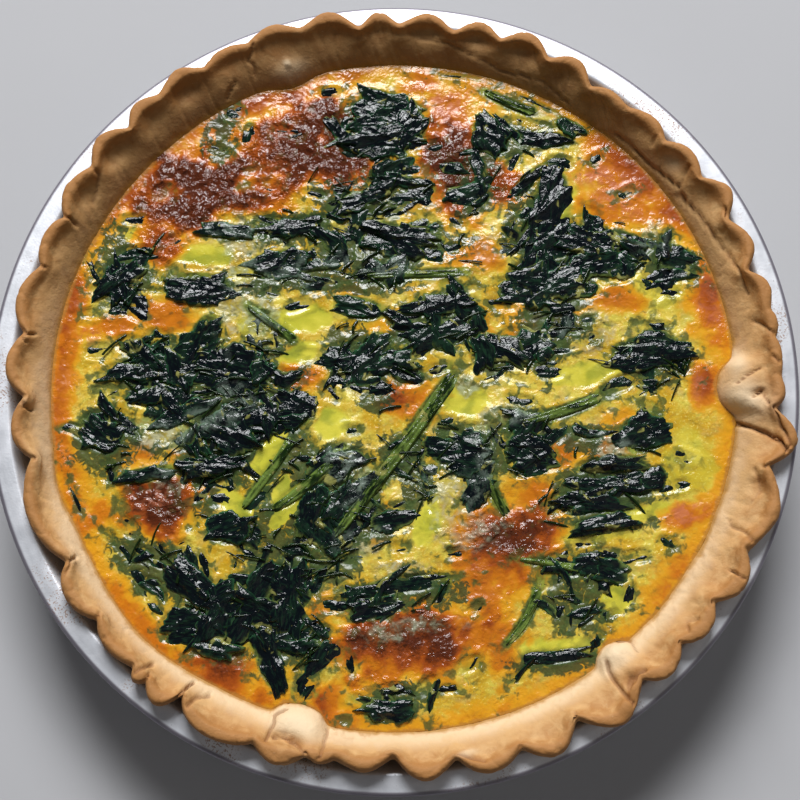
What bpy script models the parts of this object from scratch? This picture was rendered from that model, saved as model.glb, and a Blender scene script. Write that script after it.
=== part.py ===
"""Spinach quiche in its own pie tin.

Three large solids lie inside one another: the tin, the pinched pastry shell and
the egg filling. The leaves, shreds and stems of spinach lie on the filling, each
one a solid of its own, and the small flecks are raised out of the filling.

Sizes are written in millimetres and angles in degrees, and become metres where
the meshes are made. The origin is the middle of the tin's underside, +Z is up.
"""
import bpy
import math
import random
from mathutils.geometry import delaunay_2d_cdt

MM = 0.001
OBJECT_NAME = "spinach_quiche"

# Pie tin, a nine inch tin of thin sheet
TIN_OUTER_RADIUS = 121.0
TIN_MOUTH_RADIUS = 114.5
TIN_FLOOR_RADIUS = 95.0
TIN_DEPTH = 32.0
TIN_SHEET = 0.8
TIN_CORNER = 3.0
TIN_BEAD_RADIUS = 1.2
TIN_STEPS = 72

# Pastry shell
CLEARANCE = 0.5
CRUST_FLOOR = 4.0
CRUST_FLOOR_RADIUS = 86.0
CRUST_FOOT_RISE = 3.0
CRUST_FOOT_RADIUS = 89.6
FILL_LINE_Z = 27.3
FILL_LINE_RADIUS = 103.2
SHOULDER_Z = 32.0
SHOULDER_RADIUS = 106.3
LIP_MEAN_RADIUS = 113.0
LIP_HEIGHT = 38.4
LIP_HEIGHT_SPREAD = 0.9
LIP_LIMIT = 120.3
LIP_WALL = 3.6
SCOOP_DEPTH = 1.5
UNDER_LIP_Z = 32.7

# Flutes pinched by hand, read round the pie from +X: the angle of each notch,
# how far out the notch lies and how far out the next bulge reaches
FLUTES = (
    (-0.2, 115.0, 115.6), (5.8, 114.5, 115.8), (9.8, 114.4, 116.0),
    (16.6, 111.2, 116.3), (25.5, 112.4, 117.9), (33.3, 112.7, 115.4),
    (41.2, 111.7, 114.6), (49.4, 112.0, 112.8), (56.2, 110.4, 116.1),
    (64.6, 112.3, 117.4), (72.5, 113.3, 117.2), (80.2, 112.7, 117.1),
    (89.0, 113.5, 117.4), (95.4, 112.9, 118.6), (104.8, 115.5, 118.8),
    (113.0, 116.4, 118.0), (120.6, 115.2, 118.5), (129.0, 115.4, 117.5),
    (136.0, 113.1, 118.0), (144.4, 113.5, 116.3), (153.5, 111.6, 114.9),
    (162.0, 111.8, 115.8), (173.0, 110.8, 115.3), (183.2, 108.9, 113.8),
    (193.0, 108.7, 114.3), (210.4, 108.9, 114.6), (220.3, 110.6, 114.4),
    (229.3, 112.6, 115.8), (232.0, 112.8, 117.0), (237.3, 107.5, 116.8),
    (249.6, 113.1, 117.0), (257.5, 112.8, 113.8), (261.5, 112.0, 114.5),
    (270.3, 109.8, 117.1), (279.4, 111.0, 117.8), (288.5, 112.7, 119.3),
    (297.5, 111.2, 120.2), (308.6, 113.0, 117.9), (316.2, 113.3, 117.4),
    (324.0, 113.6, 118.6), (332.8, 114.6, 119.4), (346.0, 113.1, 120.2),
    (354.8, 113.1, 116.0),
)
FLUTE_STEPS = (0.0, 0.2, 0.5, 0.8)

# Where the inner wall bulges over the filling: angle, half width, inward, lift
WALL_FOLDS = (
    (359.0, 4.2, 6.0, 1.4),
    (254.9, 4.0, 4.6, 0.6),
    (308.0, 3.0, 3.4, 0.8),
    (108.1, 4.5, 2.6, 0.0),
    (198.0, 6.0, -1.6, 0.0),
    (226.0, 14.0, -2.2, 0.0),
)

# Egg filling
FILL_MIDDLE_Z = 28.3
FILL_DROP = 1.1
LATTICE = 5.9
FOLD_SHOWS = 0.1
FLECK_RISE = 0.9
FLECK_SIDES = 6
FLECK_SKIRT = 0.7

# Spinach
LEAF_GAP = 0.45
SHEET = {"leaf": 1.1, "shred": 1.2, "stem": 2.0}
WAVE = {"leaf": 0.55, "shred": 0.35, "stem": 0.1}

# Each piece of spinach: name, middle x and y, length, width, turn, bow
SPINACH = (
    ("leaf", 46.5, 53.0, 27, 10, 70, 0.05), ("leaf", -50.5, 3.5, 20, 12, -15, 0.0),
    ("leaf", -2.0, 88.5, 18, 10, -20, 0.1), ("leaf", 60.5, 43.5, 15, 9, -8, 0.0),
    ("leaf", -7.0, 7.5, 16, 9, 45, 0.0), ("leaf", 20.5, -21.5, 15, 10, -5, 0.0),
    ("leaf", 77.0, 8.5, 21, 8, 3, 0.05), ("leaf", -4.0, 77.8, 19, 8, 12, 0.0),
    ("leaf", 13.0, 14.6, 20, 7, 14, 0.05), ("leaf", -30.5, -64.5, 20, 8, 85, 0.1),
    ("leaf", -59.5, 30.0, 18, 8, -3, 0.0), ("leaf", -47.0, -17.5, 13, 8, -20, 0.0),
    ("leaf", 86.0, 38.5, 13, 8.5, -20, 0.0), ("leaf", -88.0, -16.0, 14, 9, -30, 0.0),
    ("leaf", -36.0, 37.0, 14, 8, 10, 0.0), ("leaf", 30.5, 78.5, 13, 8, -55, 0.0),
    ("leaf", -73.0, 4.0, 13, 7, 0, 0.0), ("leaf", 75.0, -16.0, 13, 11, 20, 0.0),
    ("leaf", -48.0, -44.5, 13, 7, 15, 0.0), ("leaf", 13.5, 23.6, 17, 5.6, 9, 0.0),
    ("shred", 2.0, -61.8, 23, 4.2, 6, 0.0), ("shred", -36.0, -81.5, 18, 6, -75, 0.1),
    ("shred", 59.5, -37.4, 19, 4.4, -5, 0.0), ("shred", 4.0, 46.5, 20, 5, -8, 0.05),
    ("shred", 47.0, -81.5, 18, 4, 5, 0.1), ("shred", -31.0, 49.5, 18, 5, 8, 0.0),
    ("shred", -61.5, -8.6, 17, 5.4, 20, 0.0), ("shred", -54.5, -26.0, 17, 5.4, 5, 0.1),
    ("shred", 63.5, -31.6, 17, 4.6, -6, 0.0), ("shred", 47.0, 77.8, 15, 5, -5, 0.0),
    ("shred", 61.0, -43.6, 16, 5, 8, 0.0), ("shred", 66.0, -25.6, 15, 4.6, 6, 0.0),
    ("shred", 27.0, 65.5, 15, 4, 95, 0.0), ("shred", -59.0, 14.0, 15, 6, 55, 0.0),
    ("shred", -5.0, -68.2, 15, 5, 8, 0.0), ("shred", -73.0, -28.5, 15, 4, 10, 0.0),
    ("shred", 72.8, 43.0, 10.5, 5, -40, 0.0), ("shred", -84.5, 32.0, 14, 5.5, -75, 0.0),
    ("shred", -51.0, 47.5, 14, 4.5, -8, 0.0), ("shred", -11.0, 57.5, 14, 5, 25, 0.0),
    ("shred", 46.5, 34.0, 14, 5, 90, 0.0), ("shred", 3.0, 64.0, 16, 3.6, -8, 0.0),
    ("shred", -10.5, 23.0, 13, 6.4, -15, 0.0), ("shred", 55.0, 82.0, 8.5, 4.4, -30, 0.0),
    ("shred", -30.5, -8.5, 12, 10, 0, 0.0), ("shred", 41.5, 64.0, 12, 3, 42, 0.0),
    ("shred", -1.0, -97.0, 13, 5.5, 10, 0.1),
    ("stem", 1.0, -22.5, 60, 5, 54, 0.03), ("stem", -37.0, -28.0, 25, 3.6, 56, 0.04),
    ("stem", -24.5, -30.5, 27, 4.6, 40, 0.05), ("stem", 50.0, -9.5, 27, 3.8, 18, 0.05),
    ("stem", 6.5, 33.5, 30, 3.2, 2, 0.0), ("stem", -37.0, 18.5, 18, 3.4, -38, 0.0),
    ("stem", 38.5, -70.5, 19, 3, 60, 0.15), ("stem", 36.5, 90.0, 17, 3.2, -25, 0.05),
    ("stem", 46.0, -55.0, 18, 2.6, -8, 0.0), ("stem", 30.5, -35.0, 13, 3.2, -62, 0.0),
)
ROWS_PER_MM = {"leaf": 0.26, "shred": 0.26, "stem": 0.2}

# Flecks too small for a solid of their own: middle x and y, length, width, turn
FLECKS = (
    (36, -21, 9, 7, 90), (-18, -4, 8, 5, -25), (-33, 80, 12, 5, -20), (47, 12, 10, 9, 0),
    (-25, 8, 9, 5, -10), (44, 21, 9, 6, 0), (-86, -3, 10, 6, 0), (22, -84, 9, 5, 25),
    (-52, -75, 11, 6, 30), (71, -53, 11, 5, 8), (-59, -57, 11, 5, -70), (83, -32, 11, 4, 12),
    (-24, 30, 9, 6, 0), (-49, -63, 9, 5, -50), (-54, 74, 10, 5, -35), (10, -90, 8, 5, 40),
    (-80, 52, 8, 4, -5), (35, 31, 9, 4, 0), (69, -64, 8, 4, 75), (64, 33, 8, 5, -45),
    (-17, 44, 8, 5, 0), (-89, 10, 9, 6, 0), (-85, -27, 8, 5, -80), (-41, 63, 9, 4, 10),
    (31, 3, 9, 4, 0), (-81, -38, 9, 4, 85), (-60, -41, 9, 4, -80), (-20, 94, 8, 4, 0),
    (35, 42, 7, 5, 0), (-71, 61, 8, 6, 0), (-74, -52, 8, 5, -30), (-37, 28, 7, 4, 0),
    (79, 31, 8, 5, 0), (-14, -53, 8, 4, -40), (81, -49, 7, 4, -28), (-45, 80, 7, 5, 80),
    (80, 17, 7, 4, 0), (2, -50, 7, 4, 0), (-12, -84, 7, 4, -75), (60, -60, 8, 4, -12),
    (86, -23, 7, 4, -15), (-64, -19, 6, 5, 0), (-68, 45, 8, 4, 20), (72, 60, 7, 4, 30),
    (20, 51, 7, 4, -30), (12, 76, 8, 5, -12), (63, 71, 6, 4, 40), (3, -38, 7, 4, 15),
    (60, 13, 7, 4, 20), (68, 0, 8, 4, 25), (18, -52, 7, 4, 0), (-69, -68, 7, 4, -55),
    (-92, 22, 6, 4, 0), (-12, -15, 6, 4, 0), (24, -68, 6, 4, 40), (-34, 68, 8, 4, 95),
)

# Colour, roughness and metallic value of each material
MATERIALS = {
    "tin_sheet": ((0.56, 0.58, 0.61), 0.38, 0.9),
    "baked_pastry": ((0.58, 0.34, 0.15), 0.75, 0.0),
    "baked_custard": ((0.76, 0.42, 0.05), 0.35, 0.0),
    "spinach_green": ((0.02, 0.035, 0.014), 0.3, 0.0),
    "stem_green": ((0.13, 0.17, 0.04), 0.35, 0.0),
}


def clear_scene():
    for item in list(bpy.data.objects):
        bpy.data.objects.remove(item, do_unlink=True)


def make_material(name):
    colour, roughness, metallic = MATERIALS[name]
    material = bpy.data.materials.new(name)
    material.use_nodes = True
    shader = material.node_tree.nodes["Principled BSDF"]
    shader.inputs["Base Color"].default_value = (*colour, 1.0)
    shader.inputs["Roughness"].default_value = roughness
    shader.inputs["Metallic"].default_value = metallic
    return material


def polar(radius, angle, z):
    turn = math.radians(angle)
    return (radius * math.cos(turn), radius * math.sin(turn), z)


def blend(a, b, share):
    return a + (b - a) * share


def on_track(track, z):
    """Radius at height z on a list of (radius, height) going up."""
    for (r0, z0), (r1, z1) in zip(track, track[1:]):
        if z <= z1:
            return blend(r0, r1, (z - z0) / (z1 - z0))
    return track[-1][0]


def object_from_points(name, points, faces, material, collection):
    """One mesh object from points in millimetres."""
    mesh = bpy.data.meshes.new(name)
    mesh.from_pydata([(x * MM, y * MM, z * MM) for x, y, z in points], [], faces)
    mesh.materials.append(material)
    mesh.shade_smooth()
    made = bpy.data.objects.new(name, mesh)
    collection.objects.link(made)
    return made


def loft(rings, cap_low, cap_high):
    """Faces that join closed rings of points, from the first ring to the last.

    A cap is the single point that a ring's triangles run to. Rings lie one after
    another in one list of points, each counted anticlockwise seen from above.
    """
    points = [point for ring in rings for point in ring]
    count = len(rings[0])
    faces = []
    for ring in range(len(rings) - 1):
        for step in range(count):
            a = ring * count + step
            b = ring * count + (step + 1) % count
            faces.append((a, a + count, b + count))
            faces.append((a, b + count, b))
    last = (len(rings) - 1) * count
    low = len(points)
    points += [cap_low, cap_high]
    for step in range(count):
        after = (step + 1) % count
        faces.append((low, step, after))
        faces.append((low + 1, last + after, last + step))
    return points, faces


# Tin

def tin_wall_radius(z):
    """Inner radius of the tin's sloping wall at height z."""
    share = (z - TIN_SHEET) / (TIN_DEPTH - TIN_SHEET)
    return blend(TIN_FLOOR_RADIUS - TIN_SHEET, TIN_MOUTH_RADIUS, share)


def tin_profile():
    """Half section from the middle of the floor out over the rim and back under."""
    bead_middle = (TIN_OUTER_RADIUS - TIN_BEAD_RADIUS, TIN_DEPTH - TIN_BEAD_RADIUS)
    corner = TIN_FLOOR_RADIUS - TIN_SHEET - TIN_CORNER
    section = [(0.0, TIN_SHEET), (corner, TIN_SHEET)]
    section.append((tin_wall_radius(TIN_CORNER + TIN_SHEET), TIN_CORNER + TIN_SHEET))
    section.append((TIN_MOUTH_RADIUS, TIN_DEPTH))
    for turn in (90, 45, 0, -45, -90, -150):
        along = math.radians(turn)
        section.append((bead_middle[0] + TIN_BEAD_RADIUS * math.cos(along),
                        bead_middle[1] + TIN_BEAD_RADIUS * math.sin(along)))
    section.append((TIN_MOUTH_RADIUS + TIN_SHEET, TIN_DEPTH - TIN_SHEET))
    section.append((tin_wall_radius(TIN_CORNER) + TIN_SHEET, TIN_CORNER))
    section.append((corner, 0.0))
    section.append((0.0, 0.0))
    return section


def make_tin(material, collection):
    points = [(radius, 0.0, z) for radius, z in tin_profile()]
    mesh = bpy.data.meshes.new("pie_tin")
    edges = [(i, i + 1) for i in range(len(points) - 1)]
    mesh.from_pydata([(x * MM, y * MM, z * MM) for x, y, z in points], edges, [])
    mesh.materials.append(material)
    tin = bpy.data.objects.new("pie_tin", mesh)
    collection.objects.link(tin)
    turn = tin.modifiers.new("turned", "SCREW")
    turn.axis = "Z"
    turn.steps = TIN_STEPS
    turn.render_steps = TIN_STEPS
    turn.use_merge_vertices = True
    turn.merge_threshold = 0.00001
    turn.use_smooth_shade = True
    return tin


# Pastry

def fold_at(angle):
    """How far the folds push the inner wall inwards and upwards at an angle."""
    inward, lift = 0.0, 0.0
    for middle, half_width, reach, rise in WALL_FOLDS:
        away = (angle - middle + 180.0) % 360.0 - 180.0
        share = math.exp(-(away / half_width) ** 2 * 1.4)
        inward += reach * share
        lift += rise * share
    return inward, lift


def fill_line_radius(angle):
    return FILL_LINE_RADIUS - fold_at(angle)[0]


def flute_columns():
    """(angle, lip radius, bulge from 0 to 1, lip height) for each column of points."""
    draw = random.Random(11)
    columns = []
    for index, (start, notch, bulge) in enumerate(FLUTES):
        after = FLUTES[(index + 1) % len(FLUTES)]
        width = (after[0] - start) % 360.0
        height = LIP_HEIGHT + draw.uniform(-1.0, 1.0) * LIP_HEIGHT_SPREAD
        for step in FLUTE_STEPS:
            rounded = math.sin(math.pi * step) ** 0.7
            base = blend(notch, after[1], step)
            radius = min(blend(base, bulge, rounded), LIP_LIMIT)
            dip = 0.6 * (1.0 - rounded)
            columns.append((start + width * step, radius, rounded, height - dip))
    return columns


def crust_column(angle, lip, bulge, height):
    """One upright section of the shell, from the floor inside to the floor outside."""
    inward, lift = fold_at(angle)
    floor_top = TIN_SHEET + CLEARANCE + CRUST_FLOOR
    shoulder = SHOULDER_RADIUS + 0.35 * (lip - LIP_MEAN_RADIUS)
    inner_lip = lip - LIP_WALL - 0.8 * bulge
    hang = min(lip - 0.4, tin_wall_radius(TIN_DEPTH) - 0.3)
    section = [
        (CRUST_FLOOR_RADIUS, floor_top),
        (CRUST_FOOT_RADIUS, floor_top + CRUST_FOOT_RISE),
        (FILL_LINE_RADIUS - inward, FILL_LINE_Z),
        (shoulder - 0.8 * inward, SHOULDER_Z + lift),
        (inner_lip - 0.25 * inward, height - 1.6 - SCOOP_DEPTH * bulge + 0.5 * lift),
        (lip - 1.7, height),
        (lip, height - 1.8),
        (lip - 0.4, UNDER_LIP_Z + 0.3),
        (hang, UNDER_LIP_Z - 0.2),
        (min(lip - 0.7, tin_wall_radius(30.0) - CLEARANCE), 30.0),
        (tin_wall_radius(23.0) - CLEARANCE, 23.0),
        (tin_wall_radius(TIN_CORNER + 2.0) - CLEARANCE, TIN_CORNER + 2.0),
        (TIN_FLOOR_RADIUS - TIN_SHEET - TIN_CORNER - CLEARANCE, TIN_SHEET + CLEARANCE),
    ]
    return [polar(radius, angle, z) for radius, z in section]


def make_crust(material, collection):
    columns = [crust_column(*column) for column in flute_columns()]
    rings = [[column[row] for column in columns] for row in range(len(columns[0]))]
    inside = (0.0, 0.0, TIN_SHEET + CLEARANCE + CRUST_FLOOR)
    outside = (0.0, 0.0, TIN_SHEET + CLEARANCE)
    points, faces = loft(rings, inside, outside)
    return object_from_points("crust", points, faces, material, collection)


# Filling

def filling_height(x, y):
    """Height of the baked filling's top, gently uneven and level round its edge."""
    away = math.hypot(x, y) / FILL_LINE_RADIUS
    swell = 0.40 * math.sin(x / 11.0 + 0.6) * math.sin(y / 13.0 - 0.4)
    ripple = 0.28 * math.sin(x / 7.3 - y / 9.1 + 1.7)
    calm = max(1.0 - away ** 6, 0.0)
    return FILL_MIDDLE_Z - FILL_DROP * away ** 2 + calm * (swell + ripple)


def in_frame_of(x, y, piece):
    """A point's place along and across a piece given by middle, size and turn."""
    turn = math.radians(piece[4])
    dx, dy = x - piece[0], y - piece[1]
    return (dx * math.cos(turn) + dy * math.sin(turn),
            dy * math.cos(turn) - dx * math.sin(turn))


def covers(piece, x, y, margin):
    along, across = in_frame_of(x, y, piece)
    half_length = piece[2] / 2 + margin
    half_width = piece[3] / 2 + margin
    return (along / half_length) ** 2 + (across / half_width) ** 2 < 1.0


def fleck_ring(piece, grow):
    turn = math.radians(piece[4])
    ring = []
    for side in range(FLECK_SIDES):
        around = math.tau * (side + 0.3 * (side % 2)) / FLECK_SIDES
        along = (piece[2] / 2 + grow) * math.cos(around)
        across = (piece[3] / 2 + grow) * math.sin(around)
        ring.append((piece[0] + along * math.cos(turn) - across * math.sin(turn),
                     piece[1] + along * math.sin(turn) + across * math.cos(turn)))
    return ring


def filling_top_points(rim):
    """Flat points of the top and how far each one stands above the surface."""
    points = [(x, y, 0.0) for x, y in rim]
    for fleck in FLECKS:
        points += [(x, y, 0.0) for x, y in fleck_ring(fleck, FLECK_SKIRT)]
        points += [(x, y, FLECK_RISE) for x, y in fleck_ring(fleck, -FLECK_SKIRT)]
    rows = int(FILL_LINE_RADIUS / (LATTICE * 0.866)) + 1
    for row in range(-rows, rows + 1):
        for step in range(-rows, rows + 1):
            x = LATTICE * (step + 0.5 * (row % 2))
            y = LATTICE * 0.866 * row
            angle = math.degrees(math.atan2(y, x)) % 360.0
            if math.hypot(x, y) > fill_line_radius(angle) - 0.7 * LATTICE:
                continue
            if not any(covers(fleck, x, y, 2.2) for fleck in FLECKS):
                points.append((x, y, 0.0))
    return points


def filling_angles():
    """Every other column of the shell, and all of them where the wall bulges."""
    angles = [column[0] for column in flute_columns()]
    return [angle for index, angle in enumerate(angles)
            if index % 2 == 0 or abs(fold_at(angle)[0]) > FOLD_SHOWS]


def make_filling(material, collection):
    angles = filling_angles()
    floor_z = TIN_SHEET + CLEARANCE + CRUST_FLOOR + CLEARANCE
    foot_z = floor_z + CRUST_FOOT_RISE
    bottom = [polar(CRUST_FLOOR_RADIUS - CLEARANCE, angle, floor_z) for angle in angles]
    foot = [polar(CRUST_FOOT_RADIUS - CLEARANCE, angle, foot_z) for angle in angles]
    rim = [polar(fill_line_radius(angle) - CLEARANCE, angle, 0.0)[:2] for angle in angles]
    flat = filling_top_points(rim)
    count = len(rim)
    made = delaunay_2d_cdt([point[:2] for point in flat], [], [list(range(count))], 1, 1e-4)
    top_faces = made[2]
    origins = made[3]
    rises = [flat[source[0]][2] for source in origins]
    top = [(v[0], v[1], filling_height(*v) + rise) for v, rise in zip(made[0], rises)]
    place = {source[0]: index for index, source in enumerate(origins)}
    points = top + foot + bottom + [(0.0, 0.0, floor_z)]
    foot_start = len(top)
    floor_start = foot_start + count
    middle = floor_start + count
    faces = [tuple(face) for face in top_faces]
    for step in range(count):
        after = (step + 1) % count
        upper, upper_next = place[step], place[after]
        faces.append((upper, foot_start + step, upper_next))
        faces.append((foot_start + step, foot_start + after, upper_next))
        faces.append((foot_start + step, floor_start + step, foot_start + after))
        faces.append((floor_start + step, floor_start + after, foot_start + after))
        faces.append((floor_start + after, floor_start + step, middle))
    return object_from_points("filling", points, faces, material, collection)


# Spinach

def half_width(kind, along, width, draw):
    """Half the piece's width at a place along it from -1 to 1."""
    if kind == "leaf":
        full = max(1.0 - abs(along) ** 2.4, 0.0) ** 0.6
        return width / 2 * max(full * draw.uniform(0.9, 1.05), 0.28)
    if kind == "shred":
        return width / 2 * (0.94 - 0.35 * along ** 4) * draw.uniform(0.86, 1.04)
    return width / 2 * (0.86 + 0.14 * along)


def spinach_grid(kind, x, y, length, width, turn, bow, seed):
    """Rows of (x, y, lowest z, thickness) over the piece."""
    draw = random.Random(seed)
    rows = max(4, round(length * ROWS_PER_MM[kind]))
    turn = math.radians(turn)
    phase = draw.uniform(0.0, math.tau)
    grid = []
    for row in range(rows + 1):
        along = 2.0 * row / rows - 1.0
        half = half_width(kind, along, width, draw)
        shift = bow * length / 2 * (along ** 2 - 0.33)
        line = []
        for across in (-1.0, 0.0, 1.0):
            s = along * length / 2
            t = shift + across * half
            px = x + s * math.cos(turn) - t * math.sin(turn)
            py = y + s * math.sin(turn) + t * math.cos(turn)
            wave = WAVE[kind] * (1.0 + math.sin(phase + 4.0 * along + 1.9 * across)) / 2
            low = filling_height(px, py) + LEAF_GAP + wave
            thick = SHEET[kind] * (1.0 - 0.35 * abs(across))
            line.append((px, py, low, thick))
        grid.append(line)
    return grid


def make_spinach(name, row, seed, material, collection):
    """A thin wavy solid with both faces split into triangles alike."""
    grid = spinach_grid(*row, seed)
    rows, across = len(grid), len(grid[0])
    count = rows * across
    low = [(x, y, z) for line in grid for x, y, z, thick in line]
    high = [(x, y, z + thick) for line in grid for x, y, z, thick in line]
    faces = []
    for i in range(rows - 1):
        for j in range(across - 1):
            a, b = i * across + j, (i + 1) * across + j
            for face in ((a, b, b + 1), (a, b + 1, a + 1)):
                faces.append(tuple(corner + count for corner in face))
                faces.append(face[::-1])
    edge = list(range(across))
    edge += [i * across + across - 1 for i in range(1, rows)]
    edge += [(rows - 1) * across + j for j in range(across - 2, -1, -1)]
    edge += [i * across for i in range(rows - 2, 0, -1)]
    for a, b in zip(edge, edge[1:] + edge[:1]):
        faces.append((a, a + count, b + count))
        faces.append((a, b + count, b))
    return object_from_points(name, low + high, faces, material, collection)


def make_all_spinach(materials, collection):
    tally = {"leaf": 0, "shred": 0, "stem": 0}
    for index, row in enumerate(SPINACH):
        kind = row[0]
        tally[kind] += 1
        name = f"spinach_{kind}_{tally[kind]:02d}"
        material = materials["stem_green" if kind == "stem" else "spinach_green"]
        make_spinach(name, row, 100 + index, material, collection)


def main():
    clear_scene()
    collection = bpy.data.collections.new(OBJECT_NAME)
    bpy.context.scene.collection.children.link(collection)
    materials = {name: make_material(name) for name in MATERIALS}
    make_tin(materials["tin_sheet"], collection)
    make_crust(materials["baked_pastry"], collection)
    make_filling(materials["baked_custard"], collection)
    make_all_spinach(materials, collection)


main()
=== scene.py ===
"""Spinach quiche in its pie tin: the fine surfaces, finishes, light and camera.

Lengths are in millimetres and angles in degrees until a mesh is made. The frame
holds the solids: the tin, the pastry shell, the filling and the pieces of
spinach. Each one is replaced here by a finer mesh of the same form.
"""

import math
import random

import bpy
import numpy as np
from mathutils import Matrix, Vector


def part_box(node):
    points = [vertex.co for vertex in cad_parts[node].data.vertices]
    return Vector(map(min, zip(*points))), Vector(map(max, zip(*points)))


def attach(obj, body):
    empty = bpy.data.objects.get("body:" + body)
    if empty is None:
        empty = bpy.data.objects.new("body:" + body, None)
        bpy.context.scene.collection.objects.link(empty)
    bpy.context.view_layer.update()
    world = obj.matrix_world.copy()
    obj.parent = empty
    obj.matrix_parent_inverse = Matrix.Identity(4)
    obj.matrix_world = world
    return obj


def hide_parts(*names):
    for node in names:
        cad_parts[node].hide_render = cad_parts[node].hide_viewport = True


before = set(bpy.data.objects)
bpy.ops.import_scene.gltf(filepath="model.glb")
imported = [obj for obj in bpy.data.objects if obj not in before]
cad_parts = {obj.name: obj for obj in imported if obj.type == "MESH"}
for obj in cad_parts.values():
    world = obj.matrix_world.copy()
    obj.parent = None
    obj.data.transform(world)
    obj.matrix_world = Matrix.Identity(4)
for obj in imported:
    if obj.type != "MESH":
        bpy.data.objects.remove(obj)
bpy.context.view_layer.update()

MM = 0.001
BODY = "root"

# Tin
TIN_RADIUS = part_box("pie_tin")[1][0] / MM
TIN_MOUTH_RADIUS = 114.5
TIN_FLOOR_RADIUS = 95.0
TIN_DEPTH = 32.0
TIN_SHEET = 0.8
TIN_CORNER = 3.0
TIN_BEAD_RADIUS = 1.2
TIN_COLUMNS = 288

# Pastry
CLEARANCE = 0.5
CRUST_FLOOR_TOP = TIN_SHEET + CLEARANCE + 4.0
CRUST_FLOOR_RADIUS = 86.0
CRUST_FOOT_RISE = 3.0
CRUST_FOOT_RADIUS = 89.6
FILL_LINE_Z = 27.3
FILL_LINE_RADIUS = 103.2
SHOULDER_RADIUS = 106.3
LIP_MEAN_RADIUS = 113.0
LIP_HEIGHT = 38.0
LIP_HEIGHT_SPREAD = 0.9
LIP_LIMIT = 120.3
CRUST_COLUMNS = 1440
CRUST_ROWS = 56
CRUST_SHOWN = (3.0, 15.5)

# Flutes pinched by hand, read round the pie from +X: the angle of each notch,
# how far out the notch lies, how far out the next bulge reaches, and how round
# the bulge is pinched, from 0.45 for a sharp notch to 1.4 for a soft wave
FLUTES = (
    (-0.2, 115, 115.6, 0.8), (5.8, 114.5, 115.8, 0.6), (9.8, 114.4, 116, 0.9), (16.6, 111.2, 116.3, 1.1),
    (25.5, 112.4, 117.9, 1), (33.3, 112.7, 115.4, 0.8), (41.2, 111.7, 114.6, 1.2), (49.4, 112, 112.8, 1),
    (56.2, 110.4, 116.1, 1.3), (64.6, 112.3, 117.4, 0.9), (72.5, 113.3, 117.2, 1.3),
    (80.2, 112.7, 117.1, 1.2), (89, 113.5, 117.4, 1.3), (95.4, 112.9, 118.6, 1.3), (104.8, 115.5, 118.8, 1),
    (113, 116.4, 118, 1), (120.6, 115.2, 118.5, 1.4), (129, 115.4, 117.5, 1.2), (136, 113.1, 118, 1),
    (144.4, 113.5, 116.3, 0.8), (153.5, 111.6, 114.9, 0.6), (162, 111.8, 115.8, 0.7),
    (173, 110.8, 115.3, 0.7), (183.2, 108.9, 113.8, 0.7), (193, 108.7, 114.3, 0.8),
    (210.4, 108.9, 114.6, 0.6), (220.3, 110.6, 114.4, 0.7), (229.3, 112.6, 115.8, 0.5),
    (232, 112.8, 117, 0.5), (237.3, 108.5, 116.8, 0.45), (249.6, 113.1, 117, 1), (257.5, 112.8, 113.8, 0.8),
    (261.5, 112, 114.5, 1.3), (270.3, 110.3, 117.1, 1), (279.4, 112, 117.8, 0.8),
    (288.5, 113.9, 119.3, 1.1), (297.5, 112.6, 120.2, 1), (308.6, 113, 117.9, 0.8),
    (316.2, 113.8, 117.4, 0.7), (324, 113.6, 118.6, 0.7), (332.8, 114.6, 119.4, 0.9),
    (346, 113.1, 120.2, 0.9), (354.8, 113.1, 116, 0.8),
)

# Where the inner wall bulges over the filling: angle, half width, inward, lift
# and how square the bulge's sides are
WALL_FOLDS = (
    (359, 4.2, 6, 1.4, 3), (254.9, 4, 4.6, 0.6, 4), (308, 3, 3.4, 0.8, 3), (108.1, 4.5, 2.6, 0, 1),
    (198, 6, -1.6, 0, 1), (226, 14, -2.2, 0, 1),
)

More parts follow.
